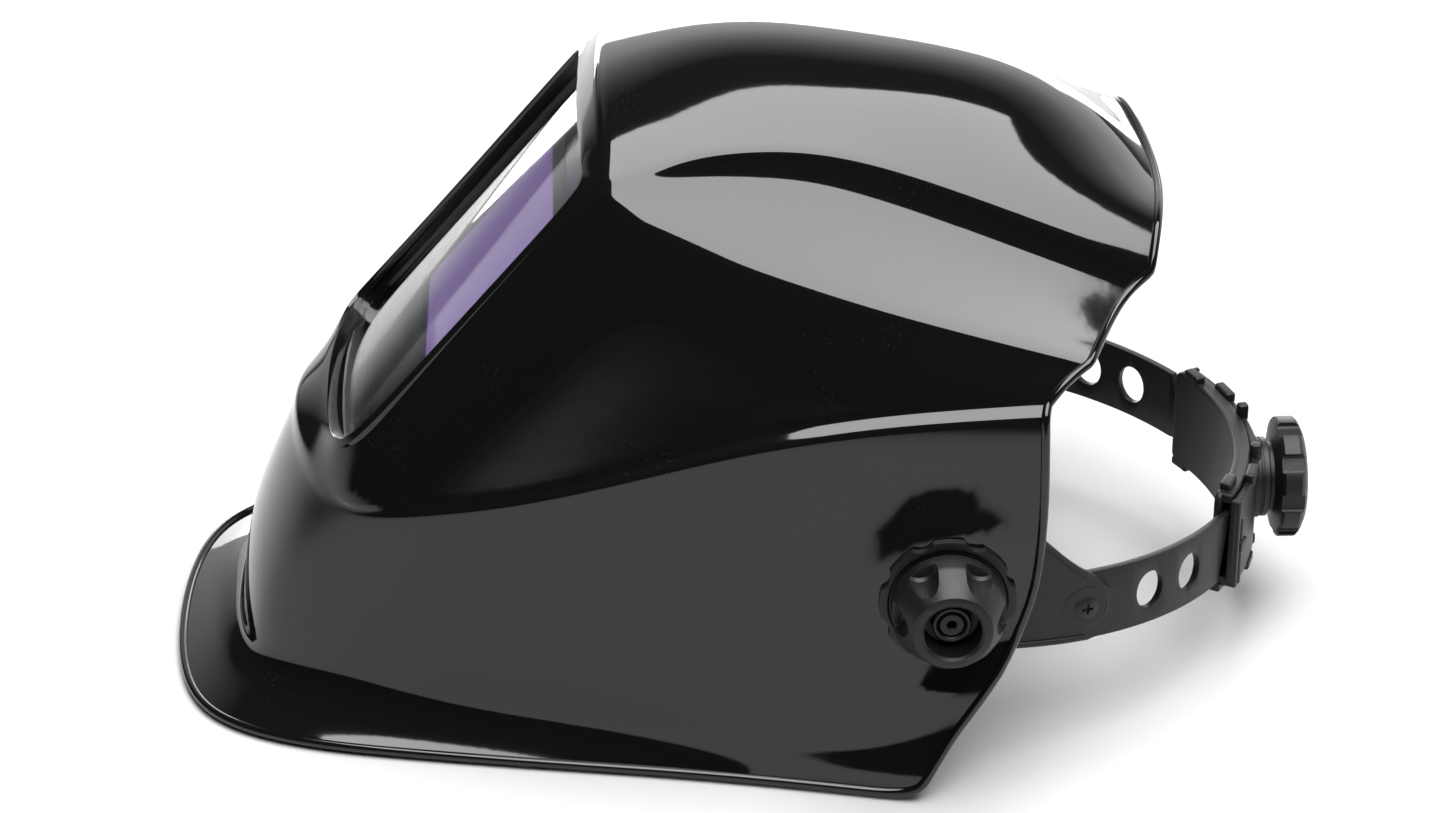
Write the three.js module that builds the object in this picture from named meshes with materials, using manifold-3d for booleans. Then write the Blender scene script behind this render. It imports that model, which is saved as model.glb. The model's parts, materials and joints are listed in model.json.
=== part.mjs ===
// Auto-darkening welding helmet with a ratchet headgear. Millimetres, +Z up.
// Front of the helmet is -Y, the wearer's left is +X. It lies on its lower rim at Z = 0.
import * as THREE from 'three';
import { mergeVertices } from 'three/addons/utils/BufferGeometryUtils.js';
import Module from 'manifold-3d';

const wasm = await Module();
wasm.setup();

// Driving dimensions
const SHELL_WIDTH = 236;
const SHELL_WALL = 2.5;
const GAP = 0.3;
const WINDOW_TILT = 40.7;
const WINDOW_WIDTH = 104;
const WINDOW_BOTTOM = -16;
const WINDOW_TOP = 104;
const LEDGE_LEVEL = 138.5;
const COVER_THICKNESS = 2;
const WINDOW_ROOM_WIDTH = 115;
const CARTRIDGE_DEPTH = 25.7;
const CARTRIDGE_BOTTOM = -18;
const CARTRIDGE_TOP = 106;
const FILTER_WIDTH = 92;
const FILTER_BOTTOM = 12;
const FILTER_TOP = 80;
const FILTER_THICKNESS = 2;
const PIVOT_Y = 62;
const PIVOT_Z = 62;
const PIVOT_PAD_RADIUS = 18;
const BOLT_RADIUS = 4;
const TENSION_KNOB_RADIUS = 17;
const TENSION_KNOB_LENGTH = 17.5;
const HEAD_FRONT = 97;
const HEAD_REAR = 105;
const BAND_THICKNESS = 2.2;
const BAND_HEIGHT = 23;
const BAND_SLOPE = 0.07;
const CROWN_HEIGHT = 90;
const CROWN_STRAP_WIDTH = 20;
const RATCHET_KNOB_RADIUS = 19.5;
const RATCHET_KNOB_LENGTH = 11;
const HOUSING_HEIGHT = 30;
const SWEATBAND_THICKNESS = 5;

// Sizes that follow from them
const shellScale = SHELL_WIDTH / 236;
const padOuter = 106.5 * shellScale;
const padInner = 100.3 * shellScale;
const washerInner = padInner - GAP - 2.2;
const plateOuter = washerInner - GAP;
const PLATE_THICKNESS = 2.4;
const bandHalfWidth = plateOuter - PLATE_THICKNESS - GAP - BAND_THICKNESS / 2;
const bandLevel = (y) => 49.1 - BAND_SLOPE * (y - PIVOT_Y);

// Materials: colour, roughness, metalness
const paint = (color, roughness, metalness = 0) =>
  new THREE.MeshStandardMaterial({ color, roughness, metalness });
const glossBlack = paint(0x08080a, 0.08);
const satinBlack = paint(0x17171a, 0.45);
const mattBlack = paint(0x1d1d20, 0.7);
const foamBlack = paint(0x222225, 0.95);
const clearPlastic = paint(0xd8dde2, 0.05);
const filterViolet = paint(0x6a5c96, 0.12);
const cellBlue = paint(0x151a2a, 0.2);
const zincSteel = paint(0x9a9a9c, 0.35, 0.9);
const greyPlastic = paint(0x5c5f63, 0.5);

// Solids
function toSolid(geometry) {
  const bare = geometry.clone();
  bare.deleteAttribute('normal');
  bare.deleteAttribute('uv');
  const merged = mergeVertices(bare, 1e-4);
  return new wasm.Manifold(new wasm.Mesh({
    numProp: 3,
    vertProperties: new Float32Array(merged.attributes.position.array),
    triVerts: new Uint32Array(merged.index.array),
  }));
}

function toGeometry(solid) {
  const { vertProperties, triVerts } = solid.getMesh();
  const geometry = new THREE.BufferGeometry();
  geometry.setAttribute('position', new THREE.BufferAttribute(new Float32Array(vertProperties), 3));
  geometry.setIndex(new THREE.BufferAttribute(new Uint32Array(triVerts), 1));
  geometry.computeVertexNormals();
  return geometry;
}

const group = new THREE.Group();
group.name = 'welding_helmet';
const place = (name, solid, material) => {
  const mesh = new THREE.Mesh(toGeometry(solid), material);
  mesh.name = name;
  group.add(mesh);
};
const mirrored = (solid) => solid.mirror([1, 0, 0]);
const bothSides = (name, solid, material) => {
  place(`${name}_left`, solid, material);
  place(`${name}_right`, mirrored(solid), material);
};

// A closed solid through rings of points, each ring with the same count
function loft(rings) {
  const count = rings[0].length;
  const position = rings.flat().flatMap((p) => p);
  const index = [];
  rings.slice(1).forEach((_, r) => {
    for (let k = 0; k < count; k += 1) {
      const a = r * count + k;
      const b = r * count + (k + 1) % count;
      index.push(a, b, b + count, a, b + count, a + count);
    }
  });
  const last = (rings.length - 1) * count;
  for (let k = 1; k + 1 < count; k += 1) {
    index.push(0, k + 1, k, last, last + k, last + k + 1);
  }
  const geometry = new THREE.BufferGeometry();
  geometry.setAttribute('position', new THREE.Float32BufferAttribute(position, 3));
  geometry.setIndex(index);
  const solid = toSolid(geometry);
  if (solid.volume() > 0) return solid;
  const flipped = [];
  for (let i = 0; i < index.length; i += 3) flipped.push(index[i], index[i + 2], index[i + 1]);
  geometry.setIndex(flipped);
  return toSolid(geometry);
}

// A turned solid: profile of [radius, height] about the X axis, heights measured along +X
function turnedX(profile, x, y, z, segments = 40) {
  const points = profile.map(([r, h]) => new THREE.Vector2(r, h));
  const geometry = new THREE.LatheGeometry(points, segments);
  geometry.rotateZ(-Math.PI / 2);
  geometry.translate(x, y, z);
  return toSolid(geometry);
}

function turnedY(profile, x, y, z, segments = 40) {
  const points = profile.map(([r, h]) => new THREE.Vector2(r, h));
  const geometry = new THREE.LatheGeometry(points, segments);
  geometry.translate(x, y, z);
  return toSolid(geometry);
}

const rod = (radius, length) => [[0, 0], [radius, 0], [radius, length], [0, length]];
const chamferedRod = (radius, length, chamfer) => [
  [0, 0], [radius - chamfer, 0], [radius, chamfer],
  [radius, length - chamfer], [radius - chamfer, length], [0, length],
];

// The shell's control cage. Each row runs back from the front of the helmet to its rear edge.
// Rows up to the bezel start at the middle of the chin, the rest at the edge of the bezel.
const shellRows = {
  rim: [[0, -175, 0], [34, -173, 0], [64, -164, 0], [80, -136, 0], [87, -104, 0],
    [94, -66, 0], [101, -22, 0], [107, 8, 0], [113, 34, 0], [118, 54, 0]],
  flange: [[0, -162, 3], [27, -161, 3], [50, -154, 3], [65, -134, 4], [76, -106, 5],
    [87, -66, 6], [98, -22, 6], [106, 9, 5], [113, 37, 4], [117, 57, 7]],
  root: [[0, -154.5, 10], [20, -154, 10], [38, -151, 10], [49, -144, 11], [66, -116, 14],
    [80, -84, 14], [93, -35, 13], [103, 4, 12], [110, 36, 12], [114, 65, 20]],
  lower: [[0, -153, 34], [22, -152, 34], [41, -147.5, 34], [52, -138, 35], [66, -108, 40],
    [79, -76, 45], [92, -28, 47], [100, 12, 47], [106, 50, 49], [109, 91, 56]],
  beltLow: [[0, -137, 72], [24, -134.5, 70], [43, -128.5, 68], [60, -117, 66], [72, -94, 73],
    [81, -66, 81], [89.5, -30, 95], [95, 3, 107], [98, 42, 115], [99, 90, 117.5]],
  beltHigh: [[0, -135.5, 79], [23, -133, 77], [42, -127, 73], [59, -116, 70], [71, -92, 77],
    [80, -64, 84], [87, -28, 97], [91.5, 4, 109.5], [94, 43, 117.5], [95, 91, 120]],
  sideLow: [[59, -92, 106], [70, -73, 110], [77, -50, 114], [83, -20, 119], [88, 6, 124],
    [92, 43, 127], [93, 95, 124.5]],
  sideHigh: [[59, -64, 141], [68, -51, 143], [74, -36, 144], [79, -12, 144], [84, 8, 142],
    [88, 43, 138], [90, 99, 127]],
  shoulder: [[59, -38, 174], [67, -30, 170], [72, -17, 165.5], [77, 0, 159], [81, 18, 154],
    [85, 48, 145], [88, 104, 130]],
  scoop: [[58, -37, 175.5], [61, -28, 174.5], [56.5, -12, 176.5], [54, 10, 174.5],
    [53.5, 30, 170.5], [54, 57, 160], [60, 115.5, 137]],
  ridge: [[57, -37, 177], [57, -27, 178.5], [54, -10, 183.5], [51, 14, 183.5], [50, 34, 180.5],
    [51, 62, 171], [58, 125, 144.3]],
  haunch: [[42, -37, 184], [42, -27, 186.5], [41, -9, 189], [40, 14, 189], [39, 38, 185.5],
    [40, 78, 175.5], [49, 128, 157.5]],
  crown: [[20, -38, 190], [20, -27, 193], [20, -8, 197], [20, 15, 198], [20, 42, 194],
    [21, 97, 184], [22, 132, 155]],
  top: [[0, -38, 191.5], [0, -27, 195], [0, -8, 199.5], [0, 15, 200.5], [0, 44, 197],
    [0, 102, 187], [0, 133, 154]],
};
const rowNames = Object.keys(shellRows);
const BEZEL_ROW = rowNames.indexOf('beltHigh');
const BEZEL_COLUMN = 3;
const LAST_COLUMN = 9;
const sharpRows = ['root', 'beltLow', 'beltHigh', 'shoulder', 'ridge'];

// The window's own frame: x across, p up the window, h out of it
const tilt = THREE.MathUtils.degToRad(WINDOW_TILT);
const windowPoint = (x, p, h) => [
  x,
  Math.sin(tilt) * p - Math.cos(tilt) * h,
  Math.cos(tilt) * p + Math.sin(tilt) * h,
];
const toWindow = new THREE.Matrix4().makeBasis(
  new THREE.Vector3(1, 0, 0),
  new THREE.Vector3(0, Math.sin(tilt), Math.cos(tilt)),
  new THREE.Vector3(0, -Math.cos(tilt), Math.sin(tilt)),
);
const halfWindow = WINDOW_WIDTH / 2;

// The opening, from the middle of its bottom edge round to the middle of its top edge
const opening = [
  [0, WINDOW_BOTTOM, 150], [22, WINDOW_BOTTOM, 149.5], [46, WINDOW_BOTTOM + 2, 148],
  [halfWindow, WINDOW_BOTTOM + 10, 146.5], [halfWindow - 0.5, 20, 146], [halfWindow - 0.5, 60, 146],
  [halfWindow, WINDOW_TOP - 8, 146], [halfWindow - 2, WINDOW_TOP - 0.5, 146.5],
  [halfWindow - 8, WINDOW_TOP, 147], [34, WINDOW_TOP, 147.5], [17, WINDOW_TOP, 148.5],
  [0, WINDOW_TOP, 149],
];
const middleOfWindow = (WINDOW_TOP + WINDOW_BOTTOM) / 2;
const openingLoops = [
  opening.map(([x, p, h]) => windowPoint(x, p, h)),
  opening.map(([x, p]) => windowPoint(x * 0.985, p, LEDGE_LEVEL)),
  opening.map(([x, p]) => windowPoint(
    x * 0.9,
    middleOfWindow + (p - middleOfWindow) * 0.9,
    LEDGE_LEVEL,
  )),
];

const edgeKey = (a, b) => (a < b ? `${a}_${b}` : `${b}_${a}`);

function shellCage() {
  const vertices = [];
  const faces = [];
  const sharp = new Set();
  const ids = new Map();
  const vertex = (key, [x, y, z], side) => {
    const own = Math.abs(x) < 1e-9 ? `${key}|0` : `${key}|${side}`;
    if (!ids.has(own)) {
      ids.set(own, vertices.length);
      vertices.push([side ? -x : x, y, z]);
    }
    return ids.get(own);
  };
  for (const side of [0, 1]) {
    const at = (row, column) => {
      const points = shellRows[rowNames[row]];
      const first = row <= BEZEL_ROW ? 0 : BEZEL_COLUMN;
      const [x, y, z] = points[column - first];
      return vertex(`${row}|${column}`, [x * shellScale, y, z], side);
    };
    const quad = (a, b, c, d) => faces.push(side ? [d, c, b, a] : [a, b, c, d]);
    for (let row = 0; row + 1 < rowNames.length; row += 1) {
      const first = row < BEZEL_ROW ? 0 : BEZEL_COLUMN;
      for (let c = first; c < LAST_COLUMN; c += 1) {
        quad(at(row, c), at(row, c + 1), at(row + 1, c + 1), at(row + 1, c));
      }
      if (!sharpRows.includes(rowNames[row])) continue;
      for (let c = row <= BEZEL_ROW ? 0 : BEZEL_COLUMN; c < LAST_COLUMN; c += 1) {
        sharp.add(edgeKey(at(row, c), at(row, c + 1)));
      }
    }
    const bezel = [0, 1, 2, 3].map((c) => at(BEZEL_ROW, c));
    for (let row = BEZEL_ROW + 1; row < rowNames.length; row += 1) bezel.push(at(row, BEZEL_COLUMN));
    let outer = bezel;
    openingLoops.forEach((loop, n) => {
      const inner = loop.map((point, k) => vertex(`opening${n}|${k}`, point, side));
      for (let k = 0; k + 1 < inner.length; k += 1) {
        quad(outer[k], outer[k + 1], inner[k + 1], inner[k]);
        sharp.add(edgeKey(outer[k], outer[k + 1]));
      }
      outer = inner;
    });
  }
  return { vertices, faces, sharp };
}

const sum = (points) => points.reduce((a, b) => [a[0] + b[0], a[1] + b[1], a[2] + b[2]]);
const scaled = (p, t) => [p[0] * t, p[1] * t, p[2] * t];

// One step of Catmull-Clark, with sharp and open edges kept as curves
function refine({ vertices, faces, sharp }) {
  const centres = faces.map((face) => scaled(sum(face.map((i) => vertices[i])), 1 / face.length));
  const edges = new Map();
  const around = vertices.map(() => ({ faces: [], edges: [] }));
  faces.forEach((face, f) => face.forEach((a, k) => {
    const b = face[(k + 1) % face.length];
    const key = edgeKey(a, b);
    if (!edges.has(key)) edges.set(key, { a, b, faces: [] });
    edges.get(key).faces.push(f);
    around[a].faces.push(f);
  }));
  edges.forEach((edge, key) => {
    around[edge.a].edges.push(key);
    around[edge.b].edges.push(key);
  });
  const isSharp = (key) => sharp.has(key) || edges.get(key).faces.length < 2;
  const result = vertices.map((v, i) => {
    const creased = around[i].edges.filter(isSharp);
    if (creased.length > 2) return v;
    if (creased.length === 2) {
      const ends = creased.map((key) => {
        const edge = edges.get(key);
        return vertices[edge.a === i ? edge.b : edge.a];
      });
      return scaled(sum([...ends, scaled(v, 6)]), 1 / 8);
    }
    const n = around[i].faces.length;
    const middles = around[i].edges.map((key) => {
      const edge = edges.get(key);
      return scaled(sum([vertices[edge.a], vertices[edge.b]]), 0.5);
    });
    const faceMean = scaled(sum(around[i].faces.map((f) => centres[f])), 1 / n);
    const edgeMean = scaled(sum(middles), 1 / middles.length);
    return scaled(sum([faceMean, scaled(edgeMean, 2), scaled(v, n - 3)]), 1 / n);
  });
  const edgeIds = new Map();
  edges.forEach((edge, key) => {
    edgeIds.set(key, result.length);
    const ends = [vertices[edge.a], vertices[edge.b]];
    result.push(isSharp(key)
      ? scaled(sum(ends), 0.5)
      : scaled(sum([...ends, centres[edge.faces[0]], centres[edge.faces[1]]]), 0.25));
  });
  const refinedFaces = [];
  faces.forEach((face, f) => {
    const centre = result.length;
    result.push(centres[f]);
    face.forEach((a, k) => {
      const next = face[(k + 1) % face.length];
      const before = face[(k + face.length - 1) % face.length];
      refinedFaces.push([a, edgeIds.get(edgeKey(a, next)), centre, edgeIds.get(edgeKey(before, a))]);
    });
  });
  const refinedSharp = new Set();
  sharp.forEach((key) => {
    const middle = edgeIds.get(key);
    refinedSharp.add(edgeKey(edges.get(key).a, middle));
    refinedSharp.add(edgeKey(middle, edges.get(key).b));
  });
  return { vertices: result, faces: refinedFaces, sharp: refinedSharp };
}

// The skin given a wall: an inner skin along the smoothed normals, closed at the open edges
function thicken({ vertices, faces }, wall) {
  const points = vertices.map((v) => new THREE.Vector3(...v));
  const faceNormals = faces.map(([a, b, c, d]) => {
    const across = points[c].clone().sub(points[a]);
    return across.cross(points[d].clone().sub(points[b]));
  });
  const normals = points.map(() => new THREE.Vector3());
  faces.forEach((face, f) => face.forEach((i) => normals[i].add(faceNormals[f])));
  normals.forEach((n) => n.normalize());
  const stretch = points.map(() => 1);
  faces.forEach((face, f) => face.forEach((i) => {
    const cosine = faceNormals[f].clone().normalize().dot(normals[i]);
    stretch[i] = Math.max(stretch[i], Math.min(1.35, 1 / Math.max(cosine, 0.1)));
  }));
  const inner = points.map((p, i) => p.clone().addScaledVector(normals[i], -wall * stretch[i]));
  const position = [...points, ...inner].flatMap((p) => [p.x, p.y, p.z]);
  const shift = points.length;
  const index = [];
  const uses = new Map();
  faces.forEach(([a, b, c, d]) => {
    index.push(a, b, c, a, c, d);
    index.push(shift + a, shift + c, shift + b, shift + a, shift + d, shift + c);
    [[a, b], [b, c], [c, d], [d, a]].forEach(([i, j]) => {
      const key = edgeKey(i, j);
      uses.set(key, uses.has(key) ? null : [i, j]);
    });
  });
  uses.forEach((edge) => {
    if (!edge) return;
    const [a, b] = edge;
    index.push(b, a, shift + a, b, shift + a, shift + b);
  });
  const geometry = new THREE.BufferGeometry();
  geometry.setAttribute('position', new THREE.Float32BufferAttribute(position, 3));
  geometry.setIndex(index);
  return toSolid(geometry);
}

// Window pieces, extruded in the window's frame
function roundedRect(halfWidth, bottom, top, radius) {
  const shape = new THREE.Shape();
  shape.moveTo(-halfWidth + radius, bottom);
  shape.lineTo(halfWidth - radius, bottom);
  shape.absarc(halfWidth - radius, bottom + radius, radius, -Math.PI / 2, 0, false);
  shape.lineTo(halfWidth, top - radius);
  shape.absarc(halfWidth - radius, top - radius, radius, 0, Math.PI / 2, false);
  shape.lineTo(-halfWidth + radius, top);
  shape.absarc(-halfWidth + radius, top - radius, radius, Math.PI / 2, Math.PI, false);
  shape.lineTo(-halfWidth, bottom + radius);
  shape.absarc(-halfWidth + radius, bottom + radius, radius, Math.PI, 1.5 * Math.PI, false);
  return shape;
}

function windowSlab(shape, low, high, curveSegments = 8) {
  const geometry = new THREE.ExtrudeGeometry(shape, {
    depth: high - low,
    bevelEnabled: false,
    curveSegments,
  });
  geometry.translate(0, 0, low);
  geometry.applyMatrix4(toWindow);
  return toSolid(geometry);
}

function windowBox(x0, x1, p0, p1, h0, h1) {
  const geometry = new THREE.BoxGeometry(x1 - x0, p1 - p0, h1 - h0);
  geometry.translate((x0 + x1) / 2, (p0 + p1) / 2, (h0 + h1) / 2);
  geometry.applyMatrix4(toWindow);
  return toSolid(geometry);
}

function windowTurned(profile, x, p, h, segments = 32) {
  const points = profile.map(([r, up]) => new THREE.Vector2(r, up));
  const geometry = new THREE.LatheGeometry(points, segments);
  geometry.rotateX(Math.PI / 2);
  geometry.translate(x, p, h);
  geometry.applyMatrix4(toWindow);
  return toSolid(geometry);
}

// Shell
const coverLow = LEDGE_LEVEL + GAP;
const coverHigh = coverLow + COVER_THICKNESS;
const coverInset = 1.5;
const coverHalf = halfWindow - coverInset;
const coverShape = roundedRect(coverHalf, WINDOW_BOTTOM + coverInset, WINDOW_TOP - coverInset, 12);
const coverRoom = roundedRect(
  coverHalf + GAP,
  WINDOW_BOTTOM + coverInset - GAP,
  WINDOW_TOP - coverInset + GAP,
  12 + GAP,
);
const skin = refine(shellCage());
let shell = thicken(skin, SHELL_WALL);
const pad = turnedX(rod(PIVOT_PAD_RADIUS, padOuter - padInner), padInner, PIVOT_Y, PIVOT_Z, 32);
const proud = turnedX(rod(PIVOT_PAD_RADIUS + 3, 20), padOuter, PIVOT_Y, PIVOT_Z, 32);
const bore = turnedX(rod(BOLT_RADIUS + GAP, 60), padInner - 30, PIVOT_Y, PIVOT_Z, 20);
for (const flip of [(s) => s, mirrored]) {
  shell = shell.add(flip(pad)).subtract(flip(proud)).subtract(flip(bore));
}
shell = shell.subtract(windowSlab(coverRoom, LEDGE_LEVEL, LEDGE_LEVEL + 6.5));
place('shell', shell, glossBlack);
place('cover_lens', windowSlab(coverShape, coverLow, coverHigh), clearPlastic);

// Auto-darkening cartridge behind the ledge, whose wall is thickest at its corners
const LEDGE_CLEARANCE = 1.22;
const cartridgeFront = LEDGE_LEVEL - SHELL_WALL * LEDGE_CLEARANCE;
const cartridgeRear = cartridgeFront - CARTRIDGE_DEPTH;
const cartridgeHalf = WINDOW_ROOM_WIDTH / 2 - SHELL_WALL;
const filterHalf = FILTER_WIDTH / 2;
const flangeLow = cartridgeFront - 2.4;
const INNER_LENS_THICKNESS = 1;
const lensPocket = cartridgeRear + INNER_LENS_THICKNESS + GAP;
const drawerLow = 86;
const drawerHigh = 102;
const drawerRoom = 38;
let cartridge = windowSlab(
  roundedRect(cartridgeHalf, CARTRIDGE_BOTTOM, CARTRIDGE_TOP, 5), cartridgeRear, cartridgeFront, 4);
const sightHole = roundedRect(filterHalf - 1.5, FILTER_BOTTOM + 1.5, FILTER_TOP - 1.5, 2);
cartridge = cartridge.subtract(windowSlab(sightHole, cartridgeRear - 1, cartridgeFront + 1, 3));
cartridge = cartridge.subtract(windowSlab(
  roundedRect(filterHalf + GAP, FILTER_BOTTOM - GAP, FILTER_TOP + GAP, 2.3),
  cartridgeRear - 1, flangeLow, 3));
const lensHalf = filterHalf + 3.5;
cartridge = cartridge.subtract(windowSlab(
  roundedRect(lensHalf + GAP, FILTER_BOTTOM - 3.5 - GAP, FILTER_TOP + 3.5 + GAP, 4),
  cartridgeRear - 1, lensPocket, 3));
const SOLAR_HALF = 30;
const solarLow = cartridgeFront - 1.2;
cartridge = cartridge.subtract(windowBox(
  -SOLAR_HALF - GAP, SOLAR_HALF + GAP, 84.7, 96.3, solarLow - GAP, cartridgeFront + 1));
for (const side of [-1, 1]) {
  const x0 = side > 0 ? drawerRoom - GAP : -cartridgeHalf - 1;
  const x1 = side > 0 ? cartridgeHalf + 1 : -drawerRoom + GAP;
  cartridge = cartridge.subtract(windowBox(
    x0, x1, drawerLow - GAP, drawerHigh + GAP, cartridgeRear + 4 - GAP, cartridgeRear + 14 + GAP));
  cartridge = cartridge.subtract(windowTurned(
    rod(3.5 + GAP, 3), side * 38, 90.5, cartridgeFront - 1.5, 24));
}
place('filter_cartridge', cartridge, satinBlack);
const filterTopFace = flangeLow - GAP;
place('filter_glass', windowSlab(
  roundedRect(filterHalf, FILTER_BOTTOM, FILTER_TOP, 2), filterTopFace - FILTER_THICKNESS,
  filterTopFace, 3), filterViolet);
place('solar_cell', windowBox(
  -SOLAR_HALF, SOLAR_HALF, 85, 96, solarLow, cartridgeFront - 0.1), cellBlue);
bothSides('arc_sensor', windowTurned(
  chamferedRod(3.5, 1.4, 0.3), 38, 90.5, cartridgeFront - 1.2, 24), cellBlue);
place('inner_lens', windowSlab(
  roundedRect(lensHalf, FILTER_BOTTOM - 3.5, FILTER_TOP + 3.5, 3.7), cartridgeRear,
  cartridgeRear + INNER_LENS_THICKNESS, 3), clearPlastic);

// Battery drawers slide out of the cartridge's sides
const drawer = windowBox(
  drawerRoom, cartridgeHalf, drawerLow, drawerHigh, cartridgeRear + 4, cartridgeRear + 14,
).add(windowBox(
  cartridgeHalf + GAP, cartridgeHalf + 2, drawerLow - 2, drawerHigh + 2,
  cartridgeRear + 3, cartridgeRear + 15,
)).add(windowBox(
  cartridgeHalf - 0.5, cartridgeHalf + 0.5, drawerLow, drawerHigh,
  cartridgeRear + 4, cartridgeRear + 14,
)).subtract(windowTurned(rod(6.3, 20), 46.5, 94, cartridgeRear + 7, 20));
bothSides('battery_drawer', drawer, satinBlack);

// Bails that hold the cartridge against the ledge
const bailReach = 26;
const bail = (edge, out) => {
  const near = edge + out * GAP;
  const far = edge + out * 2.3;
  const lip = edge - out * 4;
  const low = Math.min(near, far);
  const high = Math.max(near, far);
  return windowBox(-bailReach, bailReach, low, high, cartridgeRear - 2.3, cartridgeFront).add(
    windowBox(-bailReach, bailReach, Math.min(lip, far), Math.max(lip, far),
      cartridgeRear - 2.3, cartridgeRear - GAP));
};
place('bail_top', bail(CARTRIDGE_TOP, 1), zincSteel);
place('bail_bottom', bail(CARTRIDGE_BOTTOM, -1), zincSteel);

// Controls on the cartridge's rear face, inside the helmet
const CONTROL_LINE = -3;
const controlHigh = cartridgeRear - GAP;
function fluted(radius, length, count, depth, chamfer) {
  return (build) => {
    let solid = build(chamferedRod(radius, length, chamfer), 0, 0, 24);
    for (let k = 0; k < count; k += 1) {
      const angle = (k / count) * 2 * Math.PI;
      const reach = radius + depth * 0.9;
      solid = solid.subtract(build(
        [[0, -1], [depth * 1.9, -1], [depth * 1.9, length + 1], [0, length + 1]],
        Math.cos(angle) * reach,
        Math.sin(angle) * reach,
        8,
      ));
    }
    return solid;
  };
}
const dial = (x, radius, flutes) => {
  const turned = fluted(radius, 4, flutes, 0.6, 0.5)(
    (profile, dx, dp, segments) => windowTurned(
      profile, x + dx, CONTROL_LINE + dp, controlHigh - 4, segments));
  return turned.subtract(windowBox(
    x - 0.6, x + 0.6, CONTROL_LINE + 1, CONTROL_LINE + radius - 1, controlHigh - 5, controlHigh - 3.4));
};
place('shade_dial', dial(-34, 8, 10), greyPlastic);
place('sensitivity_dial', dial(-10, 7, 8), greyPlastic);
place('delay_switch', windowBox(
  9, 21, CONTROL_LINE - 3, CONTROL_LINE + 3, controlHigh - 1.2, controlHigh,
).add(windowBox(13, 17, CONTROL_LINE - 2.5, CONTROL_LINE + 2.5, controlHigh - 3.5, controlHigh - 1),
), greyPlastic);
place('test_button', windowTurned(
  chamferedRod(3.5, 2.5, 0.6), 36, CONTROL_LINE, controlHigh - 2.5 - 1.5, 24), greyPlastic);
place('button_collar', windowTurned(
  rod(6, 2), 36, CONTROL_LINE, controlHigh - 2, 24,
).subtract(windowTurned(rod(3.5 + GAP, 6), 36, CONTROL_LINE, controlHigh - 4, 16)), satinBlack);

// Headgear loop: an oval in plan, angle measured from the forehead towards the left side
const onLoop = (degrees, offset) => {
  const t = THREE.MathUtils.degToRad(degrees);
  const reach = Math.abs(degrees) < 90 ? HEAD_FRONT : HEAD_REAR;
  const nx = Math.sin(t) / bandHalfWidth;
  const ny = -Math.cos(t) / reach;
  const length = Math.hypot(nx, ny);
  return [
    bandHalfWidth * Math.sin(t) + (nx / length) * offset,
    PIVOT_Y - reach * Math.cos(t) + (ny / length) * offset,
  ];
};

// A strap round the loop; low and high give its edges at each angle, measured from the band's level
function strap(from, to, steps, inside, outside, low, high) {
  const rings = [];
  for (let k = 0; k <= steps; k += 1) {
    const degrees = from + ((to - from) * k) / steps;
    const [xi, yi] = onLoop(degrees, inside);
    const [xo, yo] = onLoop(degrees, outside);
    const level = bandLevel(onLoop(degrees, 0)[1]);
    const z0 = level + low(degrees);
    const z1 = level + high(degrees);
    const edge = Math.min(0.6, (z1 - z0) / 6);
    rings.push([
      [xi, yi, z0 + edge], [xi, yi, z1 - edge],
      [(xi + xo) / 2, (yi + yo) / 2, z1], [xo, yo, z1 - edge],
      [xo, yo, z0 + edge], [(xi + xo) / 2, (yi + yo) / 2, z0],
    ]);
  }
  return loft(rings);
}

const smooth = (t) => t * t * (3 - 2 * t);
const between = (a, b, x) => smooth(Math.min(1, Math.max(0, (x - a) / (b - a))));
const halfBand = BAND_HEIGHT / 2;
const halfThick = BAND_THICKNESS / 2;

// A tool that cuts or fills along the strap's local outward normal
function acrossStrap(degrees, level, profile, from, segments, squeeze = 1) {
  const points = profile.map(([r, h]) => new THREE.Vector2(r, h));
  const geometry = new THREE.LatheGeometry(points, segments);
  geometry.rotateZ(-Math.PI / 2);
  geometry.scale(1, squeeze, 1);
  const [x, y] = onLoop(degrees, from);
  const [ox, oy] = onLoop(degrees, from + 1);
  geometry.rotateZ(Math.atan2(oy - y, ox - x));
  geometry.translate(x, y, level);
  return toSolid(geometry);
}

const BROW_END = 79;
const browHeight = (degrees) => halfBand + 4 * (1 - between(10, 55, Math.abs(degrees)));
let browband = strap(-BROW_END, BROW_END, 30, -halfThick, halfThick,
  (d) => -browHeight(d) + 3, (d) => browHeight(d));
const RIVET_ANGLE = 72;
const rivetLevel = bandLevel(onLoop(RIVET_ANGLE, 0)[1]);
const FASTENER_RADIUS = 2.5;
const throughHole = (degrees, level) =>
  acrossStrap(degrees, level, rod(FASTENER_RADIUS + GAP, 20), -10, 12);
const rivetHole = throughHole(RIVET_ANGLE, rivetLevel);
browband = browband.subtract(rivetHole).subtract(mirrored(rivetHole));
place('browband', browband, satinBlack);
const SWEAT_END = 62;
place('sweatband', strap(-SWEAT_END, SWEAT_END, 24, -halfThick - GAP - SWEATBAND_THICKNESS,
  -halfThick - GAP, (d) => -browHeight(d), (d) => browHeight(d) + 2), foamBlack);

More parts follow.
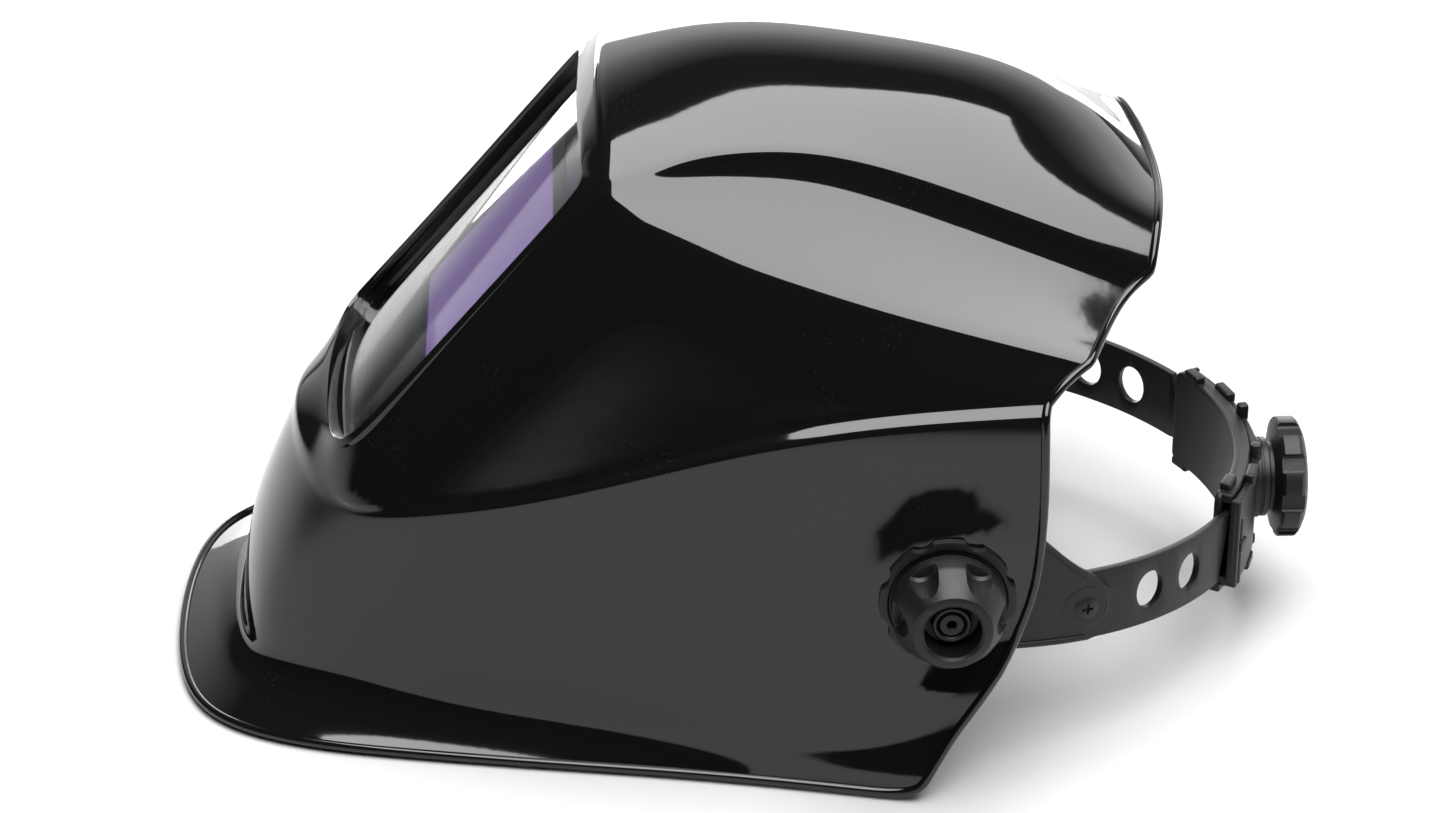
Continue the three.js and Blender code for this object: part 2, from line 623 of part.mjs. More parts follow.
// Side plates carry the pivots and tie the browband to the rear straps and the crown strap
const platIn = halfThick + GAP;
const platOut = platIn + PLATE_THICKNESS;
const PLATE_FRONT = 65;
const PLATE_REAR = 119;
const pivotRise = PIVOT_Z - bandLevel(PIVOT_Y);
const plateTop = (d) => 11 + (pivotRise + 11) * between(PLATE_FRONT, 84, d) * (1 - between(98, 118, d));
const plateBottom = (d) => -10.5 + 3 * between(PLATE_FRONT + 8, PLATE_FRONT, d);
const endRound = (d) => 5 * (1 - between(PLATE_FRONT, PLATE_FRONT + 3, d))
  + 5 * between(PLATE_REAR - 4, PLATE_REAR, d);
let sidePlate = strap(PLATE_FRONT, PLATE_REAR, 20, platIn, platOut,
  (d) => plateBottom(d) + endRound(d), (d) => plateTop(d) - endRound(d));
const plateInner = plateOuter - PLATE_THICKNESS;
sidePlate = sidePlate.add(turnedX(
  rod(14, PLATE_THICKNESS + 0.2), plateInner - 0.2, PIVOT_Y, PIVOT_Z, 24));
const pivotBore = turnedX(rod(BOLT_RADIUS + GAP, 30), plateInner - 10, PIVOT_Y, PIVOT_Z, 20);
const SCREW_ANGLE = 114;
const screwLevel = bandLevel(onLoop(SCREW_ANGLE, 0)[1]) + 1;
const screwHole = throughHole(SCREW_ANGLE, screwLevel);
const CROWN_FOOT = PIVOT_Z + 10;
const crownRivetLevel = CROWN_FOOT + 5;
const crownRivetHole = turnedX(
  rod(FASTENER_RADIUS - 0.5 + GAP, 20), plateInner - 10, PIVOT_Y, crownRivetLevel, 20);
sidePlate = sidePlate.subtract(pivotBore).subtract(rivetHole).subtract(screwHole)
  .subtract(crownRivetHole);
bothSides('side_plate', sidePlate, satinBlack);

// Rear straps: oval size holes, then a narrow rack that runs into the ratchet housing
const STRAP_START = 101;
const RACK_START = 152;
const RACK_END = 196;
const RACK_LOW = 4.4;
const RACK_HIGH = 10.5;
const holeAngles = [128.2, 138.5];
const narrowing = (d) => between(RACK_START - 3, RACK_START, d);
const rearStrap = (up) => {
  const low = (d) => {
    const rack = up > 0 ? RACK_LOW : -RACK_HIGH;
    return -halfBand + (rack + halfBand) * narrowing(d);
  };
  const high = (d) => {
    const rack = up > 0 ? RACK_HIGH : -RACK_LOW;
    return halfBand + (rack - halfBand) * narrowing(d);
  };
  let solid = strap(STRAP_START, RACK_END, 34, -halfThick, halfThick, low, high);
  for (const angle of holeAngles) {
    const level = bandLevel(onLoop(angle, 0)[1]);
    solid = solid.subtract(acrossStrap(angle, level, rod(6.5, 12), -6, 18, 0.8));
  }
  return solid.subtract(screwHole);
};
place('rear_strap_left', rearStrap(1), satinBlack);
place('rear_strap_right', mirrored(rearStrap(-1)), satinBlack);

// Crown strap in two halves that overlap on top and pin together
const crownApex = PIVOT_Z + CROWN_HEIGHT;
const CROWN_STRAIGHT = 10;
const crownHalfWidth = bandHalfWidth - 0.35;
const crownPoint = (v, offset) => {
  const rise = crownApex - CROWN_FOOT - CROWN_STRAIGHT;
  const nx = Math.cos(v) / crownHalfWidth;
  const nz = Math.sin(v) / rise;
  const length = Math.hypot(nx, nz);
  return [
    crownHalfWidth * Math.cos(v) + (nx / length) * offset,
    CROWN_FOOT + CROWN_STRAIGHT + rise * Math.sin(v) + (nz / length) * offset,
  ];
};
const crownLayer = 1.9;
function crownStrap(overlapAngle, layer) {
  const rings = [];
  const half = CROWN_STRAP_WIDTH / 2;
  const station = (xi, zi, xo, zo, width) => rings.push([
    [xi, PIVOT_Y - width, zi], [xi, PIVOT_Y + width, zi],
    [xo, PIVOT_Y + width, zo], [xo, PIVOT_Y - width, zo],
  ]);
  const innerFace = crownHalfWidth - crownLayer / 2;
  const outerFace = crownHalfWidth + crownLayer / 2;
  station(innerFace, CROWN_FOOT, outerFace, CROWN_FOOT, half - 3);
  station(innerFace, CROWN_FOOT + 4, outerFace, CROWN_FOOT + 4, half);
  for (let k = 0; k <= 16; k += 1) {
    const v = (overlapAngle * k) / 16;
    const drop = layer * between(0.5, 1.0, v);
    const [xi, zi] = crownPoint(v, -crownLayer / 2 - drop);
    const [xo, zo] = crownPoint(v, crownLayer / 2 - drop);
    station(xi, zi, xo, zo, k === 16 ? half - 4 : half);
  }
  return loft(rings);
}
const CROWN_OVERLAP = Math.PI / 2 + 0.36;
const pinHole = toSolid(new THREE.CylinderGeometry(2.3, 2.3, 30, 16).rotateX(Math.PI / 2)
  .translate(0, PIVOT_Y, crownApex));
const ADJUST_PITCH = 12;
const withAdjusters = (solid) => {
  let result = solid.subtract(pinHole).subtract(crownRivetHole);
  for (const k of [1, 2]) {
    const spare = toSolid(new THREE.CylinderGeometry(2.3, 2.3, 30, 12).rotateX(Math.PI / 2)
      .translate(k * ADJUST_PITCH, PIVOT_Y, crownApex));
    result = result.subtract(spare);
  }
  return result;
};
place('crown_strap_left', withAdjusters(crownStrap(CROWN_OVERLAP, 0)), satinBlack);
place('crown_strap_right', mirrored(withAdjusters(crownStrap(CROWN_OVERLAP, crownLayer + GAP))),
  satinBlack);
const pinLow = crownApex - crownLayer * 1.5 - GAP * 2 - 1.6;
const crownPin = toSolid(new THREE.LatheGeometry([
  [0, 0], [4.5, 0], [4.5, 1.4], [2, 1.4], [2, crownApex + crownLayer / 2 + GAP - pinLow],
  [5.5, crownApex + crownLayer / 2 + GAP - pinLow], [4.5, crownApex + 3 - pinLow],
  [0, crownApex + 3.4 - pinLow],
].map(([r, h]) => new THREE.Vector2(r, h)), 28).rotateX(Math.PI / 2).translate(0, PIVOT_Y, pinLow));
place('crown_pin', crownPin, satinBlack);

// Fasteners
const headOut = platOut + GAP;
const crossRecess = (degrees, level, at) => {
  let recess = null;
  for (const [h, w] of [[3.4, 0.8], [0.8, 3.4]]) {
    const geometry = new THREE.BoxGeometry(2, w, h);
    const [x, y] = onLoop(degrees, at);
    const [ox, oy] = onLoop(degrees, at + 1);
    geometry.rotateZ(Math.atan2(oy - y, ox - x));
    geometry.translate(x, y, level);
    const solid = toSolid(geometry);
    recess = recess ? recess.add(solid) : solid;
  }
  return recess;
};
const fastener = (degrees, level) => {
  const inner = -halfThick - GAP;
  const reach = headOut - inner;
  return acrossStrap(degrees, level, [
    [0, -1.6], [4.2, -1.6], [4.6, 0], [FASTENER_RADIUS, 0], [FASTENER_RADIUS, reach],
    [4.8, reach], [4.2, reach + 1.2], [0, reach + 1.6],
  ], inner, 16);
};
const screw = fastener(SCREW_ANGLE, screwLevel)
  .subtract(crossRecess(SCREW_ANGLE, screwLevel, headOut + 1.7));
bothSides('strap_screw', screw, satinBlack);
const rivet = acrossStrap(RIVET_ANGLE, rivetLevel, [
  [0, 0], [FASTENER_RADIUS, 0], [FASTENER_RADIUS, headOut + halfThick + GAP - 0.1],
  [4.2, headOut + halfThick + GAP - 0.1], [3.4, headOut + halfThick + 1.2], [0, headOut + halfThick + 1.4],
], -halfThick - GAP * 0.5, 24);
bothSides('brow_rivet', rivet, satinBlack);
const crownRivet = turnedX([
  [0, 0], [4, 0], [4, 1.2], [FASTENER_RADIUS - 0.5, 1.2],
  [FASTENER_RADIUS - 0.5, plateOuter - crownHalfWidth + crownLayer / 2 + 1.2],
  [0, plateOuter - crownHalfWidth + crownLayer / 2 + 1.2],
], crownHalfWidth - crownLayer / 2 - GAP - 1.2, PIVOT_Y, crownRivetLevel, 20);
bothSides('crown_rivet', crownRivet, satinBlack);

// Ratchet housing at the back of the head
const HOUSING_REACH = 28;
const HOUSING_WALL = 2.6;
const rearY = PIVOT_Y + HEAD_REAR;
const rearZ = bandLevel(rearY);
const halfHousing = HOUSING_HEIGHT / 2;
const from = 180 - HOUSING_REACH;
const to = 180 + HOUSING_REACH;
const taper = (d) => halfHousing - 2.5 * (between(from + 6, from, d) + between(to - 6, to, d));
const backIn = halfThick + GAP;
const backOut = backIn + HOUSING_WALL;
const SHAFT_RADIUS = 4;
let housingBack = strap(from, to, 18, backIn, backOut, (d) => -taper(d), taper);
const NECK_RADIUS = 12;
const NECK_LENGTH = 4;
const neckFrom = rearY + backOut - 1;
housingBack = housingBack.add(turnedY(
  [[0, 0], [NECK_RADIUS, 0], [NECK_RADIUS, NECK_LENGTH + 1], [0, NECK_LENGTH + 1]],
  0, neckFrom, rearZ, 28));
housingBack = housingBack.subtract(turnedY(rod(SHAFT_RADIUS + GAP, 20), 0, rearY - 2, rearZ, 20));
place('ratchet_housing_back', housingBack, satinBlack);
const FRONT_OVERLAP = 1.5;
place('ratchet_housing_front', strap(from, to, 18, -backOut, -backIn,
  (d) => -taper(d) - FRONT_OVERLAP, (d) => taper(d) + FRONT_OVERLAP), satinBlack);

// Ratchet knob, its shaft and the pinion between the two racks
const knobFrom = neckFrom + NECK_LENGTH + 1 + GAP;
const knobScallops = 9;
let ratchetKnob = turnedY([
  [0, 0], [NECK_RADIUS - 1, 0], [NECK_RADIUS - 1, 1.6], [RATCHET_KNOB_RADIUS - 1.2, 1.6],
  [RATCHET_KNOB_RADIUS, 2.8], [RATCHET_KNOB_RADIUS, RATCHET_KNOB_LENGTH - 2],
  [RATCHET_KNOB_RADIUS - 2.2, RATCHET_KNOB_LENGTH], [0, RATCHET_KNOB_LENGTH],
], 0, knobFrom, rearZ, 36);
for (let k = 0; k < knobScallops; k += 1) {
  const angle = (k / knobScallops) * 2 * Math.PI;
  const reach = RATCHET_KNOB_RADIUS + 2.6;
  ratchetKnob = ratchetKnob.subtract(turnedY(
    rod(4.4, 20), Math.cos(angle) * reach, knobFrom - 2, rearZ + Math.sin(angle) * reach, 10));
}
ratchetKnob = ratchetKnob.subtract(turnedY(
  rod(9, 5), 0, knobFrom + RATCHET_KNOB_LENGTH - 2, rearZ, 24));
const shaftLength = knobFrom - (rearY + halfThick + GAP) + 0.5;
ratchetKnob = ratchetKnob.add(turnedY(
  rod(SHAFT_RADIUS, shaftLength), 0, knobFrom + 0.5 - shaftLength, rearZ, 20));
place('ratchet_knob', ratchetKnob, satinBlack);
const PINION_RADIUS = RACK_LOW - GAP;
let pinion = turnedY(rod(PINION_RADIUS, BAND_THICKNESS - 0.2), 0, rearY - halfThick + 0.1, rearZ, 20);
for (let k = 0; k < 10; k += 1) {
  const angle = (k / 10) * 2 * Math.PI;
  pinion = pinion.subtract(turnedY(
    rod(0.55, 6), Math.cos(angle) * PINION_RADIUS, rearY - 3, rearZ + Math.sin(angle) * PINION_RADIUS, 6));
}
place('ratchet_pinion', pinion, satinBlack);

// Pivots: bolt, stop washer inside, lobed disc and tension knob outside
const boltHead = 2.8;
const HEAD_RADIUS = 8;
const boltFrom = plateInner - 0.2 - GAP - boltHead;
const discFrom = padOuter + GAP;
const DISC_THICKNESS = 2.4;
const knobBase = discFrom + DISC_THICKNESS + GAP;
const boltEnd = knobBase + TENSION_KNOB_LENGTH - 5;
bothSides('pivot_bolt', turnedX([
  [0, 0], [HEAD_RADIUS - 0.8, 0], [HEAD_RADIUS, 0.8], [HEAD_RADIUS, boltHead], [BOLT_RADIUS, boltHead],
  [BOLT_RADIUS, boltEnd - boltFrom - 0.6], [BOLT_RADIUS - 0.6, boltEnd - boltFrom],
  [0, boltEnd - boltFrom],
], boltFrom, PIVOT_Y, PIVOT_Z, 24).subtract(turnedX(
  rod(1.8, 6), boltEnd - 4, PIVOT_Y, PIVOT_Z, 6)), satinBlack);
const ring = (outer, thickness, x) => turnedX(rod(outer, thickness), x, PIVOT_Y, PIVOT_Z, 32)
  .subtract(turnedX(rod(BOLT_RADIUS + GAP, 20), x - 5, PIVOT_Y, PIVOT_Z, 20));
bothSides('stop_washer', ring(13, 2.2, washerInner), mattBlack);
const DISC_LOBES = 8;
let disc = ring(TENSION_KNOB_RADIUS + 3.4, DISC_THICKNESS, discFrom);
for (let k = 0; k < DISC_LOBES; k += 1) {
  const angle = ((k + 0.5) / DISC_LOBES) * 2 * Math.PI;
  const reach = TENSION_KNOB_RADIUS + 6.4;
  disc = disc.subtract(turnedX(
    rod(4.6, 10), discFrom - 3, PIVOT_Y + Math.cos(angle) * reach, PIVOT_Z + Math.sin(angle) * reach, 10));
}
bothSides('friction_disc', disc, satinBlack);
const R = TENSION_KNOB_RADIUS;
const L = TENSION_KNOB_LENGTH;
let tensionKnob = turnedX([
  [0, 0], [R, 0], [R, L * 0.5], [R - 1.2, L * 0.72], [R - 4.6, L], [9.2, L], [8.2, L - 1],
  [8.2, L - 9], [0, L - 9],
], knobBase, PIVOT_Y, PIVOT_Z, 32);
for (let k = 0; k < 8; k += 1) {
  const angle = ((k + 0.25) / 8) * 2 * Math.PI;
  const reach = R + 2.4;
  const scallopY = PIVOT_Y + Math.cos(angle) * reach;
  const scallopZ = PIVOT_Z + Math.sin(angle) * reach;
  tensionKnob = tensionKnob.subtract(turnedX(rod(4.6, 30), knobBase + 4.5, scallopY, scallopZ, 10));
}
const nutRing = turnedX(rod(6.2, 4.5), knobBase + L - 9.5, PIVOT_Y, PIVOT_Z, 24);
tensionKnob = tensionKnob.add(nutRing)
  .subtract(turnedX(rod(BOLT_RADIUS + GAP, 40), knobBase - 5, PIVOT_Y, PIVOT_Z, 20));
bothSides('tension_knob', tensionKnob, satinBlack);

// Stand the helmet on Z = 0 with the middle of its length at Y = 0
const bounds = new THREE.Box3().setFromObject(group);
const middle = (bounds.min.y + bounds.max.y) / 2;
group.children.forEach((mesh) => mesh.geometry.translate(0, -middle, -bounds.min.z));

export default group;
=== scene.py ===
"""Auto-darkening welding helmet with ratchet headgear: its looks, in metres."""
import json
import math

import bpy
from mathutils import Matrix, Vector


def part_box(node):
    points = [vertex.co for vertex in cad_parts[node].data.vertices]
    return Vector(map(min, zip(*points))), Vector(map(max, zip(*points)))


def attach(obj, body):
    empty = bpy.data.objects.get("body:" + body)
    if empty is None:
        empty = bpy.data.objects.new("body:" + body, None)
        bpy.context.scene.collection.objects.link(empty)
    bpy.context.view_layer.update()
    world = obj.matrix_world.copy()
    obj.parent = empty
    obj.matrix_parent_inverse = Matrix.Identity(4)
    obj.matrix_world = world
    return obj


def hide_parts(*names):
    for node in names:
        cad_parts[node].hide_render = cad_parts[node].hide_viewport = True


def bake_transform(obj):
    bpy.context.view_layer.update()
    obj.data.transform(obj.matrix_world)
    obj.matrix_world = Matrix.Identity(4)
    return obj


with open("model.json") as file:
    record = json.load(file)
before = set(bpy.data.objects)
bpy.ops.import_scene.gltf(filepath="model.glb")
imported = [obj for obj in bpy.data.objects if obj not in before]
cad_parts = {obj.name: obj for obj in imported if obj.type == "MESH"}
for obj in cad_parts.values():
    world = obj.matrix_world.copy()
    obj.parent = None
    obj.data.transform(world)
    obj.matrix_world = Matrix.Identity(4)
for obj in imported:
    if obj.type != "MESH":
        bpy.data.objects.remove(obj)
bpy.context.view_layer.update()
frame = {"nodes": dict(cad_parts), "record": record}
nodes = frame["nodes"]

MM = 0.001

# ---------------------------------------------------------------- places taken from the frame
BOLT_LO, BOLT_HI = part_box("pivot_bolt_left")
PIVOT_Y = (BOLT_LO[1] + BOLT_HI[1]) / 2
PIVOT_Z = (BOLT_LO[2] + BOLT_HI[2]) / 2
# the shell's cage is written around a pivot at 62, 62
CAGE_SHIFT = Vector((0, PIVOT_Y - 62 * MM, PIVOT_Z - 62 * MM))
WINDOW_TILT = math.radians(40.7)
LEDGE_LEVEL = 138.5
GAP = 0.3
COVER_THICKNESS = 2
COVER_RADIUS = 300
EDGE_BEAD_RADIUS = 1.4
SEAT_RADIUS = 21 * MM
SEAT_FADE = 7 * MM
SHELL_WALL = 2.5 * MM


def cage_point(x, y, z):
    """A point of the shell's own drawing, in millimetres, placed in the frame."""
    return Vector((x * MM, y * MM, z * MM)) + CAGE_SHIFT


# ---------------------------------------------------------------- small helpers
def deselect():
    if bpy.context.object and bpy.context.object.mode != "OBJECT":
        bpy.ops.object.mode_set(mode="OBJECT")
    bpy.ops.object.select_all(action="DESELECT")


def activate(obj):
    deselect()
    obj.select_set(True)
    bpy.context.view_layer.objects.active = obj


def bake_place(obj):
    activate(obj)
    bpy.ops.object.transform_apply(location=True, rotation=True, scale=True)


def apply_modifiers(obj):
    activate(obj)
    for modifier in list(obj.modifiers):
        bpy.ops.object.modifier_apply(modifier=modifier.name)


def smooth(obj, degrees=35):
    activate(obj)
    bpy.ops.object.shade_smooth_by_angle(angle=math.radians(degrees))


def set_material(obj, material):
    obj.data.materials.clear()
    obj.data.materials.append(material)


# ---------------------------------------------------------------- shader groups
def new_group(name, inputs, outputs):
    group = bpy.data.node_groups.new(name, "ShaderNodeTree")
    for label, kind, value in inputs:
        socket = group.interface.new_socket(label, in_out="INPUT", socket_type=kind)
        socket.default_value = value
    for label, kind in outputs:
        group.interface.new_socket(label, in_out="OUTPUT", socket_type=kind)
    return group, group.nodes.new("NodeGroupInput"), group.nodes.new("NodeGroupOutput")


def add(tree, kind, **values):
    node = tree.nodes.new(kind)
    for key, value in values.items():
        setattr(node, key, value)
    return node


def math_node(tree, operation, a, b, clamp=False):
    node = add(tree, "ShaderNodeMath", operation=operation, use_clamp=clamp)
    for k, value in enumerate((a, b)):
        if value is None:
            continue
        if isinstance(value, (int, float)):
            node.inputs[k].default_value = value
        else:
            tree.links.new(value, node.inputs[k])
    return node.outputs[0]


def make_dust_group():
    """Sparse dust specks and a faint film: how much of each shows at a point."""
    group, source, sink = new_group(
        "dust_and_film",
        [("Speck Size", "NodeSocketFloat", 900.0), ("Speck Amount", "NodeSocketFloat", 0.2),
         ("Film Size", "NodeSocketFloat", 14.0)],
        [("Specks", "NodeSocketFloat"), ("Film", "NodeSocketFloat")],
    )
    coords = add(group, "ShaderNodeTexCoord")
    cells = add(group, "ShaderNodeTexVoronoi", feature="F1")
    group.links.new(coords.outputs["Object"], cells.inputs["Vector"])
    group.links.new(source.outputs["Speck Size"], cells.inputs["Scale"])
    near = math_node(group, "LESS_THAN", cells.outputs["Distance"], 0.12)
    pick = add(group, "ShaderNodeTexNoise")
    pick.inputs["Scale"].default_value = 37.0
    pick.inputs["Detail"].default_value = 3.0
    group.links.new(coords.outputs["Object"], pick.inputs["Vector"])
    chance = math_node(group, "GREATER_THAN", pick.outputs[0], 0.62)
    specks = math_node(group, "MULTIPLY", near, chance)
    group.links.new(math_node(group, "MULTIPLY", specks, source.outputs["Speck Amount"]),
                    sink.inputs["Specks"])
    film = add(group, "ShaderNodeTexNoise")
    film.inputs["Detail"].default_value = 5.0
    film.inputs["Roughness"].default_value = 0.6
    group.links.new(coords.outputs["Object"], film.inputs["Vector"])
    group.links.new(source.outputs["Film Size"], film.inputs["Scale"])
    group.links.new(film.outputs[0], sink.inputs["Film"])
    return group


def make_grain_group():
    """Fine moulded grain as a height, and a slow variation for roughness."""
    group, source, sink = new_group(
        "moulded_grain",
        [("Grain Size", "NodeSocketFloat", 1400.0), ("Patch Size", "NodeSocketFloat", 40.0)],
        [("Height", "NodeSocketFloat"), ("Patches", "NodeSocketFloat")],
    )
    coords = add(group, "ShaderNodeTexCoord")
    fine = add(group, "ShaderNodeTexNoise")
    fine.inputs["Detail"].default_value = 2.0
    slow = add(group, "ShaderNodeTexNoise")
    slow.inputs["Detail"].default_value = 3.0
    for node, label in ((fine, "Grain Size"), (slow, "Patch Size")):
        group.links.new(coords.outputs["Object"], node.inputs["Vector"])
        group.links.new(source.outputs[label], node.inputs["Scale"])
    group.links.new(fine.outputs[0], sink.inputs["Height"])
    group.links.new(slow.outputs[0], sink.inputs["Patches"])
    return group


def make_wear_group():
    """Edges that stand out of the surface, from the shape itself."""
    group, source, sink = new_group(
        "edge_wear",
        [("Sharpness", "NodeSocketFloat", 12.0), ("Breakup", "NodeSocketFloat", 160.0)],
        [("Wear", "NodeSocketFloat")],
    )
    geometry = add(group, "ShaderNodeNewGeometry")
    coords = add(group, "ShaderNodeTexCoord")
    noise = add(group, "ShaderNodeTexNoise")
    noise.inputs["Detail"].default_value = 4.0
    group.links.new(coords.outputs["Object"], noise.inputs["Vector"])
    group.links.new(source.outputs["Breakup"], noise.inputs["Scale"])
    edge = math_node(group, "SUBTRACT", geometry.outputs["Pointiness"], 0.52)
    edge = math_node(group, "MULTIPLY", edge, source.outputs["Sharpness"], clamp=True)
    group.links.new(math_node(group, "MULTIPLY", edge, noise.outputs[0], clamp=True),
                    sink.inputs["Wear"])
    return group


dust_group = make_dust_group()
grain_group = make_grain_group()
wear_group = make_wear_group()


def place_group(tree, group, **values):
    node = add(tree, "ShaderNodeGroup", node_tree=group)
    for label, value in values.items():
        node.inputs[label.replace("_", " ")].default_value = value
    return node


def new_material(name, color, roughness, metallic=0.0, ior=1.5):
    material = bpy.data.materials.new(name)
    material.use_nodes = True
    tree = material.node_tree
    shader = tree.nodes["Principled BSDF"]
    shader.inputs["Base Color"].default_value = (*color, 1)
    shader.inputs["Roughness"].default_value = roughness
    shader.inputs["Metallic"].default_value = metallic
    shader.inputs["IOR"].default_value = ior
    return material, tree, shader


def scale_range(tree, value, low, high):
    node = add(tree, "ShaderNodeMapRange")
    node.inputs["To Min"].default_value = low
    node.inputs["To Max"].default_value = high
    tree.links.new(value, node.inputs["Value"])
    return node.outputs[0]


def mix_colors(tree, factor, a, b):
    node = add(tree, "ShaderNodeMix", data_type="RGBA")
    for socket, value in ((node.inputs[6], a), (node.inputs[7], b)):
        if isinstance(value, tuple):
            socket.default_value = (*value, 1)
        else:
            tree.links.new(value, socket)
    tree.links.new(factor, node.inputs[0])
    return node.outputs[2]


def gloss_shell_material():
    material, tree, shader = new_material("gloss_black_shell", (0.0035, 0.0035, 0.0038), 0.05)
    dust = place_group(tree, dust_group, Speck_Size=700.0, Speck_Amount=0.5, Film_Size=9.0)
    grain = place_group(tree, grain_group, Grain_Size=110.0, Patch_Size=16.0)
    color = mix_colors(tree, dust.outputs["Specks"], (0.0035, 0.0035, 0.0038), (0.05, 0.05, 0.05))
    tree.links.new(color, shader.inputs["Base Color"])
    tree.links.new(scale_range(tree, dust.outputs["Film"], 0.03, 0.085), shader.inputs["Roughness"])
    bump = add(tree, "ShaderNodeBump")
    bump.inputs["Strength"].default_value = 0.05
    bump.inputs["Distance"].default_value = 0.0004
    tree.links.new(grain.outputs["Height"], bump.inputs["Height"])
    tree.links.new(bump.outputs[0], shader.inputs["Normal"])
    return material


def satin_material(name, color, low, high, grain_size=1500.0, bump_strength=0.25):
    material, tree, shader = new_material(name, color, (low + high) / 2)
    grain = place_group(tree, grain_group, Grain_Size=grain_size, Patch_Size=35.0)
    wear = place_group(tree, wear_group, Sharpness=9.0, Breakup=180.0)
    worn = tuple(min(1, c * 2 + 0.004) for c in color)
    shader.inputs["Specular IOR Level"].default_value = 0.34
    tree.links.new(mix_colors(tree, wear.outputs["Wear"], color, worn), shader.inputs["Base Color"])
    patches = scale_range(tree, grain.outputs["Patches"], low, high)
    tree.links.new(patches, shader.inputs["Roughness"])
    bump = add(tree, "ShaderNodeBump")
    bump.inputs["Strength"].default_value = bump_strength
    bump.inputs["Distance"].default_value = 0.0002
    tree.links.new(grain.outputs["Height"], bump.inputs["Height"])
    tree.links.new(bump.outputs[0], shader.inputs["Normal"])
    return material


def steel_material():
    plating = (0.55, 0.55, 0.53)
    material, tree, shader = new_material("zinc_plated_steel", plating, 0.3, metallic=1.0)
    grain = place_group(tree, grain_group, Grain_Size=700.0, Patch_Size=60.0)
    patches = scale_range(tree, grain.outputs["Patches"], 0.22, 0.42)
    tree.links.new(patches, shader.inputs["Roughness"])
    return material


def clear_material():
    material, tree, shader = new_material("clear_polycarbonate", (0.97, 0.98, 0.98), 0.02, ior=1.58)
    shader.inputs["Transmission Weight"].default_value = 1.0
    dust = place_group(tree, dust_group, Speck_Size=500.0, Speck_Amount=0.4, Film_Size=20.0)
    tree.links.new(scale_range(tree, dust.outputs["Film"], 0.0, 0.03), shader.inputs["Roughness"])
    return material


def violet_material():
    material, tree, shader = new_material("violet_filter", (0.24, 0.16, 0.40), 0.12, ior=1.9)
    shader.inputs["Coat Weight"].default_value = 0.6
    shader.inputs["Coat Roughness"].default_value = 0.04
    grain = place_group(tree, grain_group, Grain_Size=60.0, Patch_Size=14.0)
    color = mix_colors(tree, grain.outputs["Patches"], (0.22, 0.15, 0.38), (0.27, 0.19, 0.43))
    tree.links.new(color, shader.inputs["Base Color"])
    # stands in for the light that the clear cover keeps from reaching the filter
    tree.links.new(color, shader.inputs["Emission Color"])
    shader.inputs["Emission Strength"].default_value = 0.75
    return material


def foam_material(name, color):
    material, tree, shader = new_material(name, color, 0.95)
    coords = add(tree, "ShaderNodeTexCoord")
    cells = add(tree, "ShaderNodeTexVoronoi", feature="F1")
    cells.inputs["Scale"].default_value = 900.0
    tree.links.new(coords.outputs["Object"], cells.inputs["Vector"])
    shader.inputs["Sheen Weight"].default_value = 0.3
    bump = add(tree, "ShaderNodeBump")
    bump.inputs["Strength"].default_value = 0.5
    bump.inputs["Distance"].default_value = 0.0004
    tree.links.new(cells.outputs["Distance"], bump.inputs["Height"])
    tree.links.new(bump.outputs[0], shader.inputs["Normal"])
    lighter = tuple(c * 1.7 for c in color)
    tree.links.new(mix_colors(tree, cells.outputs["Distance"], color, lighter),
                   shader.inputs["Base Color"])
    return material


shell_gloss = gloss_shell_material()
nylon = satin_material("satin_black_nylon", (0.0045, 0.0045, 0.005), 0.38, 0.52)
washer_matt = satin_material("matt_black_washer", (0.007, 0.007, 0.0075), 0.55, 0.7)
control_grey = satin_material("grey_control_plastic", (0.09, 0.095, 0.1), 0.38, 0.5)
steel = steel_material()
clear_plastic = clear_material()
violet = violet_material()
cell_dark = satin_material("dark_solar_cell", (0.008, 0.01, 0.025), 0.08, 0.16, 400.0, 0.05)
foam = foam_material("black_foam", (0.016, 0.016, 0.017))

BY_SLOT = {
    "shell_gloss": shell_gloss,
    "nylon_black": nylon,
    "washer_black": washer_matt,
    "control_grey": control_grey,
    "clear_cover": clear_plastic,
    "filter_violet": violet,
    "cell_dark": cell_dark,
    "foam_black": foam,
    "bright_steel": steel,
}
for entry in frame["record"]["subparts"]:
    set_material(nodes[entry["node"]], BY_SLOT[entry["material_slot"]])

